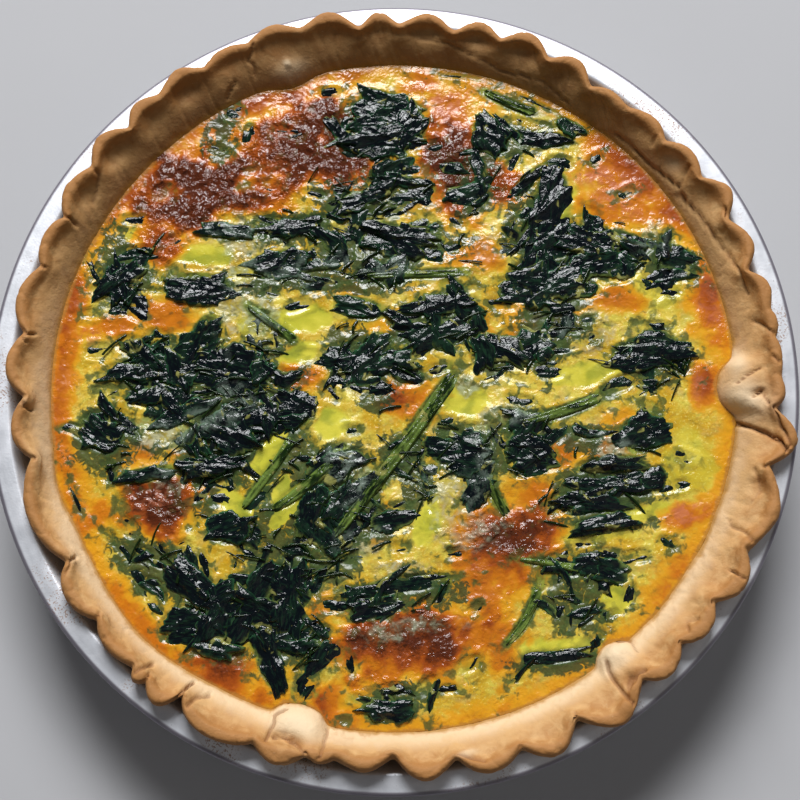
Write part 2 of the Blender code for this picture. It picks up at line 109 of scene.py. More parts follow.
# Cracks and creases in the pastry as the camera sees them on the rim's level:
# depth, width and a run of angles, each with its radius
RIM_LEVEL = 36.0
CREASES = (
    (0.8, 0.5, 13, 108.9, 17, 108.3, 20, 107.4, 23, 105.8, 27, 105.4, 30, 104.2, 33, 102.8),
    (0.85, 0.4, 25, 105.6, 28, 105.1, 31, 103.8, 34.5, 104.4, 37, 103.2, 41, 101.9, 45, 102.4, 48, 102.1),
    (0.6, 0.4, 58, 101.6, 60, 102.3, 63, 104.1, 66, 103.9, 70, 102.5, 73, 103.4),
    (0.5, 0.5, 72, 103.3, 77, 105.4, 81, 107.7, 86, 108.6),
    (0.7, 0.6, 6.2, 114.6, 7, 112.2, 8.2, 110, 8.6, 108.6),
    (1.3, 0.7, 24.6, 114.4, 25.6, 113.2, 26.6, 112.6), (0.45, 0.6, 36, 111.2, 35, 108, 34, 105.6),
    (0.45, 0.6, 43, 110, 42.4, 107.2),
    (0.65, 0.5, 112.4, 115.2, 113, 112.3, 114.1, 110.6, 113.5, 108, 113.9, 104.6),
    (0.8, 0.5, 117.4, 105.6, 118.5, 104.2, 120, 102.2),
    (0.7, 0.6, 144.3, 112.6, 144.9, 109.5, 146.9, 107.4, 149.4, 106),
    (0.95, 0.5, 153.4, 113.6, 153.2, 109.6, 153.9, 106.8), (0.85, 0.5, 162.2, 113.2, 162.1, 110),
    (0.95, 0.5, 172.2, 113, 173.2, 110.2, 173.1, 107.4), (0.7, 0.4, 173.6, 112, 174.6, 109.6),
    (0.95, 0.5, 183, 111.2, 184.8, 109, 185.6, 106.6), (0.8, 0.5, 193, 110, 193.3, 107.4),
    (0.35, 1, 201, 109.4, 205, 107.8, 208.4, 106.2), (1, 0.5, 210.3, 111.6, 210.5, 105.8),
    (0.6, 0.5, 212.2, 112.6, 211.4, 109, 210.6, 107.2), (0.8, 0.5, 220.4, 112.6, 219.8, 108.8),
    (0.6, 0.4, 222.8, 114.2, 223.1, 112.3), (1.1, 0.5, 229.4, 115.6, 230.3, 111.2, 231.2, 108.2),
    (1, 0.4, 231.9, 115.4, 231.7, 110.8), (2.2, 0.4, 237.2, 113, 237.2, 108.8, 237.9, 105.4),
    (0.95, 0.6, 238.9, 112, 239.4, 108.4, 241, 106.2),
    (1.2, 0.5, 251.4, 111, 251.8, 106, 251.4, 103.4, 253, 101.2),
    (1, 0.5, 259.4, 113, 259.9, 108.5, 260, 103.8),
    (1.3, 0.6, 252.3, 109.6, 254.4, 108.8, 256.4, 109.9, 257.4, 112),
    (0.8, 0.5, 276.9, 116.4, 278.4, 113.2), (0.8, 0.5, 279.4, 110.4, 281.2, 112, 283.2, 113.8),
    (0.6, 0.5, 288.4, 114, 288.8, 111.6), (0.9, 0.5, 297.2, 114.6, 297.6, 110.2),
    (1.3, 0.6, 305.5, 118.2, 305.2, 112.6, 305.2, 106.8, 305.9, 103.6),
    (1.3, 0.7, 306.2, 113, 307.4, 110.4, 309.6, 111.2), (0.8, 0.5, 310.6, 106.4, 311, 103.2, 309.4, 100.8),
    (0.8, 0.4, 315.8, 116, 316.1, 112.8), (0.7, 0.5, 318.2, 112.8, 319.2, 110.8, 320.3, 112.2),
    (0.95, 0.4, 323.6, 117.4, 323.8, 113.2), (1.5, 0.35, 329.1, 119, 329.2, 112.8),
    (0.85, 0.5, 334.4, 116, 335.3, 111, 335.2, 107.6, 336, 106.4),
    (0.6, 0.6, 339.2, 110.2, 342, 112.2, 344.8, 109.2), (0.7, 0.5, 346, 115, 345.6, 111),
    (1.8, 0.6, 348.5, 118.4, 350.2, 113.4, 351.2, 107.7, 351.6, 101, 351.9, 97),
    (1.1, 0.5, 349.4, 118.8, 352.2, 114.4, 355, 112.4),
    (1.1, 0.5, 355.4, 110.6, 357.6, 108.8, 356.4, 106.6),
    (1.2, 0.4, 358.4, 101.4, 359.8, 104.4, 361, 108.6), (0.8, 0.5, 1.6, 115.6, 2.8, 112.6),
)

# Swells and hollows of the pastry in the same terms: angle, radius, half length
# round the rim, half width, rise, and how pale it is; below 0 it is browner, toasted on a few swells and
# painted shade in the hollows
SWELLS = (
    (255.6, 104.2, 6.4, 4, 0.9, 1), (254.9, 109, 3.4, 1, -1.5, -0.4), (254.3, 112.4, 4.6, 1.5, 1.4, 0),
    (307.6, 102.6, 4.4, 2.2, 1.2, 1), (308, 111, 3.2, 1.6, -1.4, -0.4), (304.4, 116.6, 2, 1.5, 1.3, -0.7),
    (306.6, 114.4, 1.6, 1.3, 1, -0.8), (355.6, 104, 5.4, 6.6, 0.9, 0.9), (357, 108, 1.2, 2.4, -1, -0.2),
    (362.4, 101.4, 3.4, 3, 1, 0.9), (342.4, 111, 2.8, 2, -0.9, -0.5), (286, 108.4, 5, 2, -0.4, 0),
    (108.2, 105.3, 0.9, 1, 0.8, 1), (107.6, 102.4, 5, 3.4, 0.5, 0.5), (230.6, 111.8, 1.5, 3.2, 0.8, 0),
    (184, 109.4, 1.2, 1.4, 0.6, 0.2), (318.8, 112, 1.4, 1.2, 0.7, -0.5), (281, 110.8, 2.6, 0.9, 0.5, 0.7),
    (68, 111.2, 4.4, 2.2, -0.8, -0.1), (76, 110.4, 4.4, 2, -0.7, -0.1), (85, 110.4, 5, 2.2, -0.7, -0.1),
    (125.4, 110.6, 4.6, 2.4, -0.8, -0.1), (141.2, 110, 4.2, 2.6, -0.8, -0.1),
    (38, 108.6, 3.2, 2.6, -0.6, 0.3), (148.4, 108.8, 3.6, 2.2, -0.5, 0),
    (26.8, 112.8, 1.6, 0.9, -1.2, -0.6),
)

# Filling
FILL_MIDDLE_Z = 28.3
FILL_DROP = 1.1
FILL_CELLS = 296

# Pieces of spinach that have a solid: middle x and y, length, width, turn and
# bow, in the order of the frame's nodes of that kind
SPINACH = {
    "leaf": (
        (46.5, 53, 27, 10, 70, 0.05), (-50.5, 3.5, 20, 12, -15, 0), (-2, 88.5, 18, 10, -20, 0.1),
        (60.5, 43.5, 15, 9, -8, 0), (-7, 7.5, 16, 9, 45, 0), (20.5, -21.5, 15, 10, -5, 0),
        (77, 8.5, 21, 8, 3, 0.05), (-4, 77.8, 19, 8, 12, 0), (13, 14.6, 20, 7, 14, 0.05),
        (-30.5, -64.5, 20, 8, 85, 0.1), (-59.5, 30, 18, 8, -3, 0), (-47, -17.5, 13, 8, -20, 0),
        (86, 38.5, 13, 8.5, -20, 0), (-88, -16, 14, 9, -30, 0), (-36, 37, 14, 8, 10, 0),
        (30.5, 78.5, 13, 8, -55, 0), (-73, 4, 13, 7, 0, 0), (75, -16, 13, 11, 20, 0),
        (-48, -44.5, 13, 7, 15, 0), (13.5, 23.6, 17, 5.6, 9, 0),
    ),
    "shred": (
        (2, -61.8, 23, 4.2, 6, 0), (-36, -81.5, 18, 6, -75, 0.1), (59.5, -37.4, 19, 4.4, -5, 0),
        (4, 46.5, 20, 5, -8, 0.05), (47, -81.5, 18, 4, 5, 0.1), (-31, 49.5, 18, 5, 8, 0),
        (-61.5, -8.6, 17, 5.4, 20, 0), (-54.5, -26, 17, 5.4, 5, 0.1), (63.5, -31.6, 17, 4.6, -6, 0),
        (47, 77.8, 15, 5, -5, 0), (61, -43.6, 16, 5, 8, 0), (66, -25.6, 15, 4.6, 6, 0),
        (27, 65.5, 15, 4, 95, 0), (-59, 14, 15, 6, 55, 0), (-5, -68.2, 15, 5, 8, 0),
        (-73, -28.5, 15, 4, 10, 0), (72.8, 43, 10.5, 5, -40, 0), (-84.5, 32, 14, 5.5, -75, 0),
        (-51, 47.5, 14, 4.5, -8, 0), (-11, 57.5, 14, 5, 25, 0), (46.5, 34, 14, 5, 90, 0),
        (3, 64, 16, 3.6, -8, 0), (-10.5, 23, 13, 6.4, -15, 0), (55, 82, 8.5, 4.4, -30, 0),
        (-30.5, -8.5, 12, 10, 0, 0), (41.5, 64, 12, 3, 42, 0), (-1, -97, 13, 5.5, 10, 0.1),
    ),
    "stem": (
        (1, -22.5, 60, 5, 54, 0.03), (-37, -28, 25, 3.6, 56, 0.04), (-24.5, -30.5, 27, 4.6, 40, 0.05),
        (50, -9.5, 27, 3.8, 18, 0.05), (6.5, 33.5, 30, 3.2, 2, 0), (-37, 18.5, 18, 3.4, -38, 0),
        (38.5, -70.5, 19, 3, 60, 0.15), (36.5, 90, 17, 3.2, -25, 0.05), (46, -55, 18, 2.6, -8, 0),
        (30.5, -35, 13, 3.2, -62, 0),
    ),
}

# Flecks that the filling's solid carries: middle x and y, length, width, turn
FLECKS = (
    (36, -21, 9, 7, 90), (-18, -4, 8, 5, -25), (-33, 80, 12, 5, -20), (47, 12, 10, 9, 0),
    (-25, 8, 9, 5, -10), (44, 21, 9, 6, 0), (-86, -3, 10, 6, 0), (22, -84, 9, 5, 25), (-52, -75, 11, 6, 30),
    (71, -53, 11, 5, 8), (-59, -57, 11, 5, -70), (83, -32, 11, 4, 12), (-24, 30, 9, 6, 0),
    (-49, -63, 9, 5, -50), (-54, 74, 10, 5, -35), (10, -90, 8, 5, 40), (-80, 52, 8, 4, -5),
    (35, 31, 9, 4, 0), (69, -64, 8, 4, 75), (64, 33, 8, 5, -45), (-17, 44, 8, 5, 0), (-89, 10, 9, 6, 0),
    (-85, -27, 8, 5, -80), (-41, 63, 9, 4, 10), (31, 3, 9, 4, 0), (-81, -38, 9, 4, 85),
    (-60, -41, 9, 4, -80), (-20, 94, 8, 4, 0), (35, 42, 7, 5, 0), (-71, 61, 8, 6, 0), (-74, -52, 8, 5, -30),
    (-37, 28, 7, 4, 0), (79, 31, 8, 5, 0), (-14, -53, 8, 4, -40), (81, -49, 7, 4, -28), (-45, 80, 7, 5, 80),
    (80, 17, 7, 4, 0), (2, -50, 7, 4, 0), (-12, -84, 7, 4, -75), (60, -60, 8, 4, -12), (86, -23, 7, 4, -15),
    (-64, -19, 6, 5, 0), (-68, 45, 8, 4, 20), (72, 60, 7, 4, 30), (20, 51, 7, 4, -30), (12, 76, 8, 5, -12),
    (63, 71, 6, 4, 40), (3, -38, 7, 4, 15), (60, 13, 7, 4, 20), (68, 0, 8, 4, 25), (18, -52, 7, 4, 0),
    (-69, -68, 7, 4, -55), (-92, 22, 6, 4, 0), (-12, -15, 6, 4, 0), (24, -68, 6, 4, 40),
    (-34, 68, 8, 4, 95),
)

# Finer bits between the larger pieces, in the same terms
BITS = (
    (-38, 62, 9, 4, 10), (-24, 60, 8, 3, -10), (-43, 68, 8, 3, 8), (-50, 88, 7, 6, 0), (-15, 46, 9, 8, 0),
    (-3, 55, 8, 6, 0), (6, 55, 7, 5, 20), (12, 50, 8, 4, -60), (4, 69, 10, 7, 0), (6, 77, 12, 5, -12),
    (42, 83, 17, 4, -10), (55, 30, 10, 6, 0), (38, 29, 10, 4, 0), (33, 24, 9, 5, 0), (-77, 32, 8, 5, 80),
    (-79, 41, 13, 5, 5), (-72, 12, 9, 5, 5), (-66, 7, 11, 5, -25), (-84, 23, 8, 5, 0), (-44, -2, 15, 4, 15),
    (-35, -14, 9, 6, 30), (-51, -35, 7, 7, 0), (-40, -36, 9, 5, 40), (-21, -40, 13, 5, 80),
    (-25, -18, 10, 4, -60), (-17, -22, 8, 4, 50), (-8, -29, 8, 6, 40), (-5, -43, 10, 4, 55),
    (10, -36, 10, 3, -70), (10, -59, 20, 2.6, 3), (-17, -67, 9, 5, 0), (-22, -75, 12, 3, -5),
    (-26, -82, 9, 4, 25), (16, -91, 7, 3, 0), (58, -80, 7, 2, 78), (52, -68, 13, 4, 82),
    (61, -70, 16, 3, 12), (45, -60, 8, 4, -20), (62, -52, 10, 4, 0), (56, -49, 8, 3, 10),
    (70, -38, 9, 4, -10), (72, -29, 7, 4, 75), (58, -26, 8, 4, 15), (77, -8, 9, 4, -30), (87, 5, 6, 3, 90),
    (75, 17, 7, 5, -50), (67, -2, 12, 5, 25), (77, -2, 17, 1.8, 36), (59, 19, 5, 3, 0), (47, 4, 10, 8, 0),
    (36, 1, 8, 3, -20), (38, -6, 9, 4, -10), (25, -14, 10, 3.5, -8), (16, -12, 6, 3, 0), (-6, -2, 11, 7, 0),
    (5, 8, 8, 4, 0), (-29, 24, 9, 5, 20), (-46, 12, 9, 4, 50), (-47, 55, 7, 2.5, 0),
    (-95, -34, 16, 1.8, -65), (-78, -44, 8, 6, -40), (-68, -51, 8, 3, -60), (-73, -61, 13, 4.5, -55),
    (-62, -50, 6, 5, 0), (-92, 36, 12, 4, -60), (-55, -55, 9, 3, -70), (-46, -54, 8, 3, 80),
    (-38, -52, 9, 4, 60), (22, 99, 20, 1.8, -8), (45, 90, 16, 1.8, -28), (-14, -100, 5, 3, 0),
    (35, -88, 5, 3, 10), (-24, 51, 9, 4, 15), (18, 42, 8, 4, -5), (-5, 36, 11, 3, 8), (26, 56, 8, 4, 70),
    (37, 70, 8, 4, 60), (52, 70, 9, 5, -10), (84, 28, 7, 4, 0), (92, 33, 6, 4, 60), (-57, -16, 9, 5, 10),
    (-66, -2, 11, 4, 0), (-41, -24, 9, 4, 40), (-30, -52, 10, 4, 80), (-25, -60, 8, 4, 70),
    (14, 4, 8, 4, 20), (-14, 2, 7, 4, -40), (22, 29, 8, 3, 10),
)

# Where torn spinach lies thick: middle x and y, half length, half width, turn
THICKETS = (
    (-50, 0, 24, 14, 0), (-45, -20, 22, 12, 10), (-66, 5, 16, 12, 0), (-81, 38, 10, 14, 0),
    (-86, -18, 9, 12, -20), (-70, -55, 16, 8, -40), (-32, -44, 14, 18, -15), (-36, -70, 9, 14, 0),
    (-20, -30, 12, 14, 0), (-2, 42, 26, 8, 3), (-8, 60, 18, 9, 10), (-6, 82, 13, 10, 0), (26, 64, 8, 12, 0),
    (40, 51, 6, 15, 0), (38, 77, 10, 6, -10), (61, 40, 15, 8, 0), (85, 38, 11, 7, -10), (46, 18, 8, 18, 0),
    (-6, 5, 10, 8, 0), (14, 19, 14, 8, 10), (78, 6, 12, 8, 0), (57, -18, 7, 6, 20), (64, -35, 16, 12, 0),
    (22, -22, 12, 8, 0), (56, -64, 12, 12, 0), (47, -83, 13, 4, 0), (4, -64, 18, 6, 5), (2, -95, 11, 6, 10),
    (-24, -79, 7, 8, 0), (-52, -72, 8, 8, 0), (-31, 48, 14, 6, 5), (-54, 78, 6, 9, 0), (-32, 32, 22, 5, 0),
    (-14, 10, 7, 9, 10), (4, -22, 7, 8, 0), (-7, -43, 11, 7, 0), (-18, -54, 8, 7, 0), (40, -17, 7, 9, 0),
    (31, 8, 7, 7, 0), (54, 30, 8, 8, 0), (-8, 31, 15, 4, 0), (-56, -33, 5, 8, 0), (8, -34, 5, 8, 0),
    (56, 17, 5, 4, 0), (-6, -6, 5, 5, 0),
)

# Torn pieces strewn there: name, number, seed, shortest and longest, narrowest
# and widest, spread of their turns, and the least half width of their place
THICKET_DRAWS = (
    ("tangle", 320, 5, (5.0, 16.0), (1.4, 5.0), 35.0, 0),
    ("sheets", 150, 9, (10.0, 21.0), (5.5, 11.0), 50.0, 7),
)

# Joined pieces of fine spinach: name, first seed, spacing of their points, growth,
# height, lowest lift, lift from one scrap to the next, how far the edges are
# drowned in custard, and how much more from one scrap to the next
STREWN_PIECES = (
    ("flecks", 300, 0.45, 1.25, 1.2, -0.45, 0.0, 0.7, 0.0),
    ("bits", 500, 0.45, 1.3, 1.2, -0.45, 0.0, 0.7, 0.0),
    ("sheets", 1300, 0.5, 1.0, 1.1, -0.5, 0.3, 0.0, 0.12),
    ("tangle", 700, 0.5, 1.0, 1.1, -0.5, 0.2, 0.0, 0.15),
)

# Seed of the first piece that has a solid, and how these pieces are made: spacing
# of their points, growth, lifts taken in turn, and how deep a skirt is sunk
SPINACH_SEED = 100
STEM_SPACING = 0.5
LEAF_SPACING = 0.4
LEAF_GROWTH = 1.3
LEAF_LIFTS = (0.1, 0.35, 0.6, 0.85)
SKIRT_DEPTH = 1.2

# Deep, lit and edge colours of the green finishes, and how streaked they are
LEAF_LOOK = ((0.002, 0.004, 0.006), (0.007, 0.024, 0.012), (0.030, 0.115, 0.045), 0.12)
STEM_LOOK = ((0.006, 0.018, 0.003), (0.050, 0.095, 0.014), (0.16, 0.24, 0.045), 0.6)

# Browned and pale places on the filling: middle x and y, half length, half
# width, turn and strength
SCORCHED = (
    (-22, 85, 11, 8, 0, 0.9), (-17, 72, 14, 9, 0, 1), (18, 70, 8, 14, 0, 1), (36, 64, 8, 6, 0, 0.8),
    (-58, 64, 14, 8, 10, 1), (-66, 54, 11, 9, 0, 1), (-70, 46, 8, 7, 0, 0.9), (-45, 58, 12, 5, 0, 0.9),
    (34, -46, 11, 10, 0, 0.75), (5, -77, 20, 8, 5, 0.75), (-6, -88, 6, 4, 0, 0.6), (-76, 73, 4, 2, 0, 0.8),
    (-38, 70, 14, 11, 0, 0.85), (-68, -37, 10, 8, -20, 0.8), (-47, -84, 6, 4, 0, 0.4),
    (0, -5, 5, 4, 0, 0.5), (-26, 2, 5, 4, 0, 0.4),
)
TOASTED = (
    (72, 61, 16, 12, -35, 0.9), (17, 83, 10, 6, 0, 0.9), (8, 96, 6, 4, 0, 0.8), (16, 90, 9, 5, 0, 0.9),
    (-48, 88, 12, 5, 30, 0.8), (-70, -37, 12, 9, 0, 1), (-86, -39, 5, 5, 0, 0.9),
    (-47, -84, 11, 7, -20, 0.9), (-18, -93, 4, 6, 0, 0.8), (27, -60, 8, 11, 0, 1), (44, -36, 6, 8, 0, 0.9),
    (32, -82, 5, 8, 0, 0.8), (-22, -68, 6, 7, 0, 0.8), (64, -20, 9, 6, 0, 0.9), (50, -22, 8, 5, 0, 0.9),
    (68, -13, 6, 4, 0, 0.6), (95, 22, 5, 14, 0, 0.9), (92, 0, 3, 8, 0, 0.9), (86, -40, 6, 4, 20, 0.9),
    (-69, 20, 11, 6, 0, 0.9), (-85, 18, 9, 4, 0, 0.9), (-97, 28, 4, 8, 0, 0.7), (42, 35, 4, 4, 0, 0.9),
    (51, 22, 5, 4, 0, 0.8), (67, 25, 9, 4, 0, 0.9), (33, 11, 9, 5, 0, 0.8), (26, 17, 6, 6, 0, 0.7),
    (4, -5, 9, 7, 0, 0.8), (25, 39, 8, 6, 0, 0.8), (0, 19, 6, 5, 0, 0.6), (-28, 1, 7, 5, 0, 0.7),
    (-62, -22, 7, 5, 0, 0.7), (-74, -22, 9, 4, 0, 0.8), (-5, -42, 4, 9, 0, 0.5), (-60, 62, 20, 14, 15, 0.9),
    (-20, 78, 22, 16, 0, 0.9), (20, 70, 14, 18, 0, 0.9), (36, -48, 16, 14, 0, 0.9),
    (5, -77, 26, 12, 5, 0.9), (-92, 58, 6, 8, 30, 0.6), (-99, 5, 4, 28, 0, 0.6), (-94, -30, 4, 14, 20, 0.5),
    (78, -56, 7, 9, -35, 0.3), (-72, -72, 14, 5, -45, 0.4), (-20, -99, 22, 4, 10, 0.4),
    (40, 22, 10, 8, 0, 0.5), (-10, 30, 14, 5, 10, 0.4), (-33, 92, 10, 4, 15, 0.7),
)
BLUSHED = (
    (66, 64, 11, 4, -20, 0.9), (86, -40, 5, 3, 20, 0.9), (92, 0, 2, 5, 0, 0.7), (8, 96, 5, 3, 0, 0.8),
    (16, 89, 8, 4, 0, 0.8), (-92, 14, 3, 3, 0, 0.8), (96, 20, 3, 9, 0, 0.5), (-70, -36, 5, 4, 0, 0.6),
    (42, 35, 3, 3, 0, 0.7), (70, 56, 9, 3, -30, 0.7), (88, 72, 3, 3, 0, 0.5),
)
CHEESY = (
    (-44, 25, 9, 11, 0, 0.7), (-13, -27, 6, 9, 20, 1), (22, -2, 4, 4, 0, 1), (36, -10, 6, 3, 0, 0.9),
    (28, -20, 3, 9, 0, 0.9), (-72, -16, 10, 4, 0, 0.8), (-5, 37, 12, 3, 0, 0.7), (58, 15, 8, 8, 0, 0.5),
    (-48, -7, 6, 5, 20, 0.9), (-10, -48, 8, 4, 0, 0.6), (15, -33, 11, 6, 0, 0.6), (20, -44, 11, 7, 0, 0.5),
    (5, -56, 10, 2, 0, 0.6), (-46, 45, 6, 8, 0, 0.6), (65, -20, 7, 3, 0, 0.8), (80, 44, 5, 5, 0, 0.6),
    (-30, 33, 8, 6, 0, 0.5), (2, -74, 16, 3, 5, 0.5), (-55, -12, 7, 3, 0, 0.6), (30, 42, 7, 5, 0, 0.4),
    (-66, -30, 5, 4, 0, 0.4),
)
POOLS = (
    (-38, -22, 8, 2.2, 60, 0.9), (-33, -33, 6, 2.4, 70, 0.9), (-44, 18, 4, 3, 0, 0.7),
    (-27, 20, 12, 4.5, 8, 1), (-18, -13, 6, 5, 30, 0.9), (-37, -22, 3, 9, -35, 1), (-31, -38, 3, 9, -35, 1),
    (10, -42, 4, 9, -20, 1), (22, -6, 8, 5, 0, 1), (60, -46, 12, 3, 0, 0.6), (72, -40, 10, 3, 10, 0.7),
    (66, -65, 5, 5, 0, 0.8), (47, -79, 11, 3, 0, 0.8), (-66, 18, 6, 3, 0, 0.6), (-73, -5, 4, 5, 0, 0.5),
    (80, 28, 9, 6, 0, 0.5), (88, -25, 8, 12, 0, 0.5), (56, 2, 12, 4, 15, 0.7), (-45, 34, 5, 3, 0, 0.6),
    (62, 54, 10, 4, -10, 0.6), (-58, 40, 12, 3, 0, 0.7), (-78, 46, 6, 3, 0, 0.6), (35, 36, 5, 8, 0, 0.4),
    (-29, 8, 6, 3.5, 30, 0.9), (54, 55, 8, 4, 40, 0.8), (-46, -38, 7, 3, -50, 0.8),
    (-72, -44, 5, 3, -40, 0.8),
)

# What each mask of the filling is made of: its places, seed, fray and softness
MASKS = {
    "scorched": (SCORCHED, 71, 0.85, 0.6), "toasted": (TOASTED, 75, 0.7, 0.8),
    "blushed": (BLUSHED, 79, 0.6, 0.6), "cheesy": (CHEESY, 83, 0.7, 0.45),
    "pool": (POOLS, 87, 0.6, 0.35), "thicket": ([(*patch, 1.0) for patch in THICKETS], 91, 0.5, 0.35),
}

# How far the strewn spinach keeps away from a pool and from the pastry
POOL_MARGIN = 2.5
THICKET_MARGIN = 8.0

# Loose threads of spinach: how far out they lie and how high, in millimetres, the
# cells of their ground, and the inputs of their nodes, in metres
THREAD_REACH = 92.0
THREAD_LIFT = 0.25
THREAD_CELLS = 60
THREAD_SIZES = {"Threads per Square Metre": 22000.0, "Thread Length": 0.0075, "Thread Radius": 0.00034,
                "Bend": 0.0008, "Seed": 21}

# Lights: name, place, size in metres, power and colour
LIGHTS = (
    ("window", (-110.0, 1620.0, 1540.0), (1.1, 0.75), 73.0, (0.97, 0.98, 1.0)),
    ("room", (700.0, -600.0, 1400.0), (1.6, 1.2), 1.5, (1.0, 0.94, 0.86)),
)
LIGHT_TARGET = (0.0, 0.0, 20.0)
ROOM_TINT = (0.97, 0.96, 1.0, 1.0)
ROOM_STRENGTH = 0.09
FLOOR_SIZE = 4.0

# Camera fitted to the photograph of the tin's rim, and its target
CAMERA_LENS = 68.85
CAMERA_SENSOR = 36.0
CAMERA_NEAR = 0.01
CAMERA_LEAN = 13.0
CAMERA_TURN = 3.1
CAMERA_DISTANCE = 455.0
CAMERA_TARGET = (2.2, -6.6, 32.0)


# Fields and small helpers

def smooth_step(low, high, value):
    share = np.clip((value - low) / (high - low), 0.0, 1.0)
    return share * share * (3.0 - 2.0 * share)


def blend(a, b, share):
    return a + (b - a) * share


def turned(x, y, radians):
    """Turns places about the middle, anticlockwise."""
    cosine, sine = math.cos(radians), math.sin(radians)
    return x * cosine - y * sine, x * sine + y * cosine


def toward(angle, middle):
    """Degrees from one direction to others, from -180 to 180."""
    return (angle - middle + 180.0) % 360.0 - 180.0


def lattice_noise(x, y, cell, seed):
    """Smooth random values from 0 to 1 with about one bump to a cell."""
    table = np.random.default_rng(seed).random((256, 256))
    u, v = x / cell + 512.3, y / cell + 512.7
    i, j = np.floor(u).astype(int), np.floor(v).astype(int)
    fu, fv = smooth_step(0.0, 1.0, u - i), smooth_step(0.0, 1.0, v - j)
    i, k = i & 255, (i + 1) & 255
    j, m = j & 255, (j + 1) & 255
    low = table[i, j] * (1.0 - fu) + table[k, j] * fu
    high = table[i, m] * (1.0 - fu) + table[k, m] * fu
    return low * (1.0 - fv) + high * fv


def cloud(x, y, cell, seed, octaves=3):
    """Sum of finer and finer noise, each layer turned against the last."""
    total = np.zeros(np.broadcast(x, y).shape)
    weight, share = 0.0, 1.0
    for octave in range(octaves):
        total += share * lattice_noise(*turned(x, y, 0.6 + 1.1 * octave), cell, seed + octave)
        weight += share
        share *= 0.5
        cell *= 0.5
    return total / weight


def creased(x, y, cell, seed):
    """Sharp ridges with values from 0 to 1."""
    return 1.0 - np.abs(2.0 * cloud(x, y, cell, seed, 2) - 1.0) * 2.0


def patch_mask(x, y, name):
    """Frayed patches from 0 to 1, the strongest where they meet."""
    patches, seed, fray, soft = MASKS[name]
    mask = np.zeros_like(x)
    ragged = cloud(x, y, 6.0, seed, 4) - 0.5
    for px, py, half_length, half_width, turn, strength in patches:
        along, across = turned(x - px, y - py, -math.radians(turn))
        spread = np.hypot(along / half_length, across / half_width) + fray * 2.2 * ragged
        mask = np.maximum(mask, strength * smooth_step(1.0 + soft, 1.0 - soft, spread))
    return mask


def rounded(values, degrees):
    """Evens out a value that runs once round the pie."""
    reach = int(3.0 * degrees * len(values) / 360.0) + 1
    steps = np.arange(-reach, reach + 1) * 360.0 / len(values)
    weights = np.exp(-0.5 * (steps / degrees) ** 2)
    wrapped = np.concatenate([values[-reach:], values, values[:reach]])
    return np.convolve(wrapped, weights / weights.sum(), "valid")


# Shapes that the solids share

def tin_wall_radius(z):
    share = (z - TIN_SHEET) / (TIN_DEPTH - TIN_SHEET)
    return blend(TIN_FLOOR_RADIUS - TIN_SHEET, TIN_MOUTH_RADIUS, share)


def filling_height(x, y):
    """Height of the filling's top, gently uneven and level round its edge."""
    away = np.hypot(x, y) / FILL_LINE_RADIUS
    swell = 0.40 * np.sin(x / 11.0 + 0.6) * np.sin(y / 13.0 - 0.4)
    ripple = 0.28 * np.sin(x / 7.3 - y / 9.1 + 1.7)
    calm = np.maximum(1.0 - away ** 6, 0.0)
    return FILL_MIDDLE_Z - FILL_DROP * away ** 2 + calm * (swell + ripple)


def fold_at(angle):
    """How far the folds push the inner wall inwards and upwards at each angle."""
    inward, lift = np.zeros_like(angle), np.zeros_like(angle)
    for middle, half_width, reach, rise, square in WALL_FOLDS:
        away = np.abs(toward(angle, middle)) / half_width
        share = np.exp(-1.4 * away ** 2)
        share = blend(share, np.exp(-0.9 * away ** (2 * square)), 0.6 * (square > 1))
        inward += reach * share
        lift += rise * share
    return inward, lift


def lip_at(angle):
    """Lip radius, bulge from 0 to 1 and height at each angle once round the pie."""
    draw = random.Random(11)
    heights = [LIP_HEIGHT + draw.uniform(-1.0, 1.0) * LIP_HEIGHT_SPREAD for _ in FLUTES]
    radius, bulge = np.zeros_like(angle), np.zeros_like(angle)
    middles = []
    for (start, notch, reach, softness), after in zip(FLUTES, FLUTES[1:] + FLUTES[:1]):
        width = (after[0] - start) % 360.0
        share = ((angle - start) % 360.0) / width
        inside = share < 1.0
        share = np.clip(share, 0.0, 1.0)
        swell = np.sin(np.pi * share) ** softness
        base = blend(notch, after[1], share)
        radius = np.where(inside, np.minimum(blend(base, reach, swell), LIP_LIMIT), radius)
        bulge = np.where(inside, swell, bulge)
        middles.append((start + width / 2.0) % 360.0)
    order = np.argsort(middles)
    height = np.interp(angle, np.array(middles)[order], np.array(heights)[order], period=360.0)
    return rounded(radius, 0.3), rounded(bulge, 0.3), height - 0.6 * (1.0 - bulge)


# Meshes

def placed(name, data):
    """Puts a mesh, a light or a camera into the scene."""
    made = bpy.data.objects.new(name, data)
    bpy.context.collection.objects.link(made)
    return made


def mesh_object(name, points, faces):
    """One object from points in millimetres, which become metres."""
    mesh = bpy.data.meshes.new(name)
    mesh.from_pydata(np.asarray(points) * MM, [], faces)
    mesh.polygons.foreach_set("use_smooth", [True] * len(mesh.polygons))
    return placed(name, mesh)


def as_points(x, y, z):
    return np.stack([x, y, z], -1).reshape(-1, 3)


def set_values(piece, values, spare=0):
    """Numbers for each point of the piece, for its material to read. Spare points get 0."""
    for name, value in values.items():
        flat = np.concatenate([np.ravel(value), np.zeros(spare)]).astype(np.float32)
        piece.data.attributes.new(name, "FLOAT", "POINT").data.foreach_set("value", flat)


def dress(piece, slot, material, *nodes):
    """Gives a piece its material, its body and the solids that it stands for."""
    piece.data.materials.clear()
    piece.data.materials.append(material)
    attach(piece, BODY)
    if nodes:
        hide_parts(*nodes)


